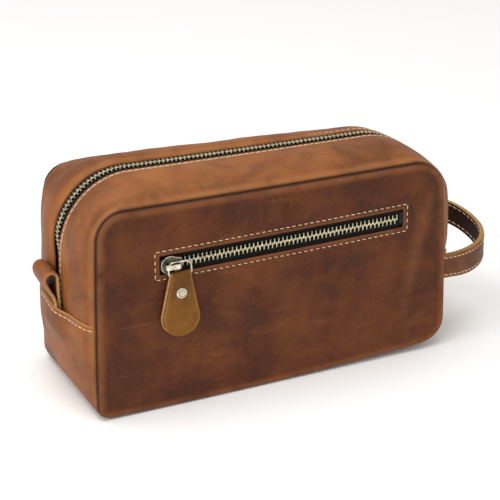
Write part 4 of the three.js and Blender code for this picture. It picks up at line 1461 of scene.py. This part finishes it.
def make_linings():
    inner = UNDER + CLOTH + GAP
    for face, name in FACES:
        xs = edged_lines(-HALF_LENGTH, HALF_LENGTH, 7)
        zs = edged_lines(0, HEIGHT, 7)
        points, flat = panel_points(xs, zs)
        x, z = points[..., 0], points[..., 2]
        points[..., 0] = x * (HALF_LENGTH - inner) / HALF_LENGTH
        points[..., 2] = mix(z, HEIGHT / 2, inner / (HEIGHT / 2))
        place = xyz(x, z, face * 40)
        wave = 0.5 * (cloud(place, 30, 2.1) + 1) * smooth(4, 16, flat)
        puff = puffed(x, z, 0.8 if face < 0 else 1.6) * smooth(0, 25, flat)
        points[..., 1] = face * (EDGE_Y + puff - wave - 0.6)
        keep = None
        if face < 0:
            open_x = (xs[:-1] > TAPE_LOW[0] - 6) & (xs[:-1] < TAPE_HIGH[0])
            open_z = (zs[:-1] > TAPE_LOW[2] - 6) & (zs[:-1] < TAPE_HIGH[2])
            keep = ~(open_z[:, None] & open_x[None, :])
        points = settle(points)
        lining = skin(f"{name}_lining_cloth", points, (LOOK["lining"],), thickness=CLOTH, keep=keep)
        finish(lining, "lining_cloth", f"{name}_lining")
    for face, face_name in FACES:
        for side, side_name in SIDES:
            u = side * np.array(spread_lines(0, ZIP_END - 1, 4.4))
            across = np.linspace(15, EDGE_Y - 2.2, 12)
            place = zip_point(u[:, None], face * across[None, :])
            wave = 0.4 * cloud(place, 22, 5.5) - 0.4
            points = settle(zip_point(u[:, None], face * across[None, :], -UNDER - GAP + wave))
            end = f"{face_name}_{side_name}"
            lining = skin(f"strip_lining_{end}_cloth", points, (LOOK["lining"],), thickness=CLOTH)
            nodes = (f"strip_lining_{end}", f"strip_lining_{face_name}_top")
            finish_lip(lining, "lining_cloth", face_name, side, *nodes)
    v = np.linspace(-base_end(-1, JOIN_Z - 3), base_end(1, JOIN_Z - 3), 70)
    across = np.linspace(-EDGE_Y + 2.2, EDGE_Y - 2.2, 20)
    place = base_point(v[:, None], across[None, :])
    wave = 0.4 * cloud(place, 24, 8.1) - 0.4
    points = settle(base_point(v[:, None], across[None, :], -UNDER - GAP - 0.6 + wave))
    lining = skin("base_lining_cloth", points, (LOOK["lining"],), thickness=CLOTH)
    finish(lining, "lining_cloth", "base_lining")


def make_pocket_bag():
    """The soft pouch behind the pocket zip: two sheets joined round three sides, open to the zip."""
    low, high = node_box("pocket_bag")
    middle_x, half_x = (low[0] + high[0]) / 2, (high[0] - low[0]) / 2
    middle_y, half_y = (low[1] + high[1]) / 2, (high[1] - low[1]) / 2 - 0.4
    turn = circle(72)
    heights = np.linspace(low[2], high[2], 26)
    rings = []
    for z in heights:
        end = min(z - low[2], high[2] - z)
        full = math.sqrt(1 - (1 - min(end / 8, 1)) ** 2) * 0.85 + 0.15
        x = middle_x + (half_x - 1.2 + 1.2 * full) * np.sign(np.cos(turn)) * np.abs(np.cos(turn)) ** 0.28
        y = middle_y + half_y * full * np.sign(np.sin(turn)) * np.abs(np.sin(turn)) ** 0.8
        ring = xyz(x, y, z)
        ring[:, 1] += 0.35 * cloud(ring, 26, 3.7) * np.sin(turn)
        rings.append(ring)
    rings = np.array(rings)
    faces_keep = np.ones((len(heights), len(turn)), bool)
    mouth = (heights > POCKET_Z - 11) & (heights < POCKET_Z + 10)
    faces_keep[np.ix_(mouth, np.sin(turn) < -0.2)] = False
    faces = grid_faces(*rings.shape[:2], close_columns=True, keep=faces_keep)
    obj = make_object("pocket_pouch", rings, faces)
    tidy_normals(obj)
    dress(obj, LOOK["lining"])
    apply(obj, "SOLIDIFY", thickness=0.6 * MM, offset=-1)
    finish(obj, "lining_cloth", "pocket_bag")


# ---------- Stops ----------
def make_stops():
    """The zips' stops keep their CAD shapes; those at the bottom are bound in the tape's own cloth."""
    for name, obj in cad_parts.items():
        if "stop" in name:
            dress(obj, LOOK["tape" if "bottom" in name or "pocket" in name else "slider"])


# ---------- Floor, light and camera ----------
def flat_material(name, colour, rough):
    n = Nodes(name)
    n.set(Base_Color=rgb(colour), Roughness=rough, Specular_IOR_Level=0.1)
    return n.material


def make_stage():
    size = 6000
    corners = [(-size, -size, -0.3), (size, -size, -0.3), (size, size, -0.3), (-size, size, -0.3)]
    floor = make_object("floor", corners, [(0, 1, 2, 3)])
    dress(floor, flat_material("pale_floor", "f6f5f3", 0.9))
    world = bpy.data.worlds.new("studio")
    bpy.context.scene.world = world
    world.use_nodes = True
    world.node_tree.nodes["Background"].inputs[0].default_value = (1, 1, 1, 1)
    world.node_tree.nodes["Background"].inputs[1].default_value = 0.72


def area_light(name, place, target, size, power):
    """A white rectangle of light that faces its target: metres and watts."""
    data = bpy.data.lights.new(name, "AREA")
    data.shape = "RECTANGLE"
    data.size, data.size_y = size
    data.energy = power
    light = bpy.data.objects.new(name, data)
    bpy.context.scene.collection.objects.link(light)
    light.location = place
    light.rotation_euler = (Vector(target) - Vector(place)).to_track_quat("-Z", "Y").to_euler()


def make_lights():
    middle = (0, 0, 0.08)
    area_light("overhead", (-0.35, -0.1, 1.5), middle, (1.3, 0.9), 13)
    area_light("left_window", (-1.5, -0.5, 0.8), middle, (0.9, 1.0), 10)
    area_light("front_fill", (0.5, -1.9, 0.7), middle, (1.4, 1.0), 4)


CAMERA_DISTANCE = 1.4
CAMERA_AZIMUTH = math.radians(-25.52)
CAMERA_ELEVATION = math.radians(24.44)
CAMERA_AIM = (0.0049, -0.0007, 0.0784)
LENS = 142.8
SENSOR = 36


def make_camera():
    data = bpy.data.cameras.new("camera")
    data.lens = LENS
    data.sensor_width = SENSOR
    data.clip_end = 50
    camera = bpy.data.objects.new("camera", data)
    bpy.context.scene.collection.objects.link(camera)
    flat = math.cos(CAMERA_ELEVATION)
    x = math.sin(CAMERA_AZIMUTH) * flat
    y = -math.cos(CAMERA_AZIMUTH) * flat
    away = Vector((x, y, math.sin(CAMERA_ELEVATION)))
    camera.location = Vector(CAMERA_AIM) + CAMERA_DISTANCE * away
    camera.rotation_euler = (-away).to_track_quat("-Z", "Y").to_euler()
    bpy.context.scene.camera = camera


def make_bag():
    make_front_panel()
    make_back_panel()
    make_strips()
    make_base()
    make_zip_stitches()
    make_pocket_stitches()
    make_main_zip()
    make_pocket_zip()
    make_sliders()
    make_handle()
    make_tab()
    make_seam_allowances()
    make_linings()
    make_pocket_bag()
    make_stops()


make_stage()
make_lights()
make_camera()
make_bag()
bpy.context.scene.view_settings.view_transform = "Standard"
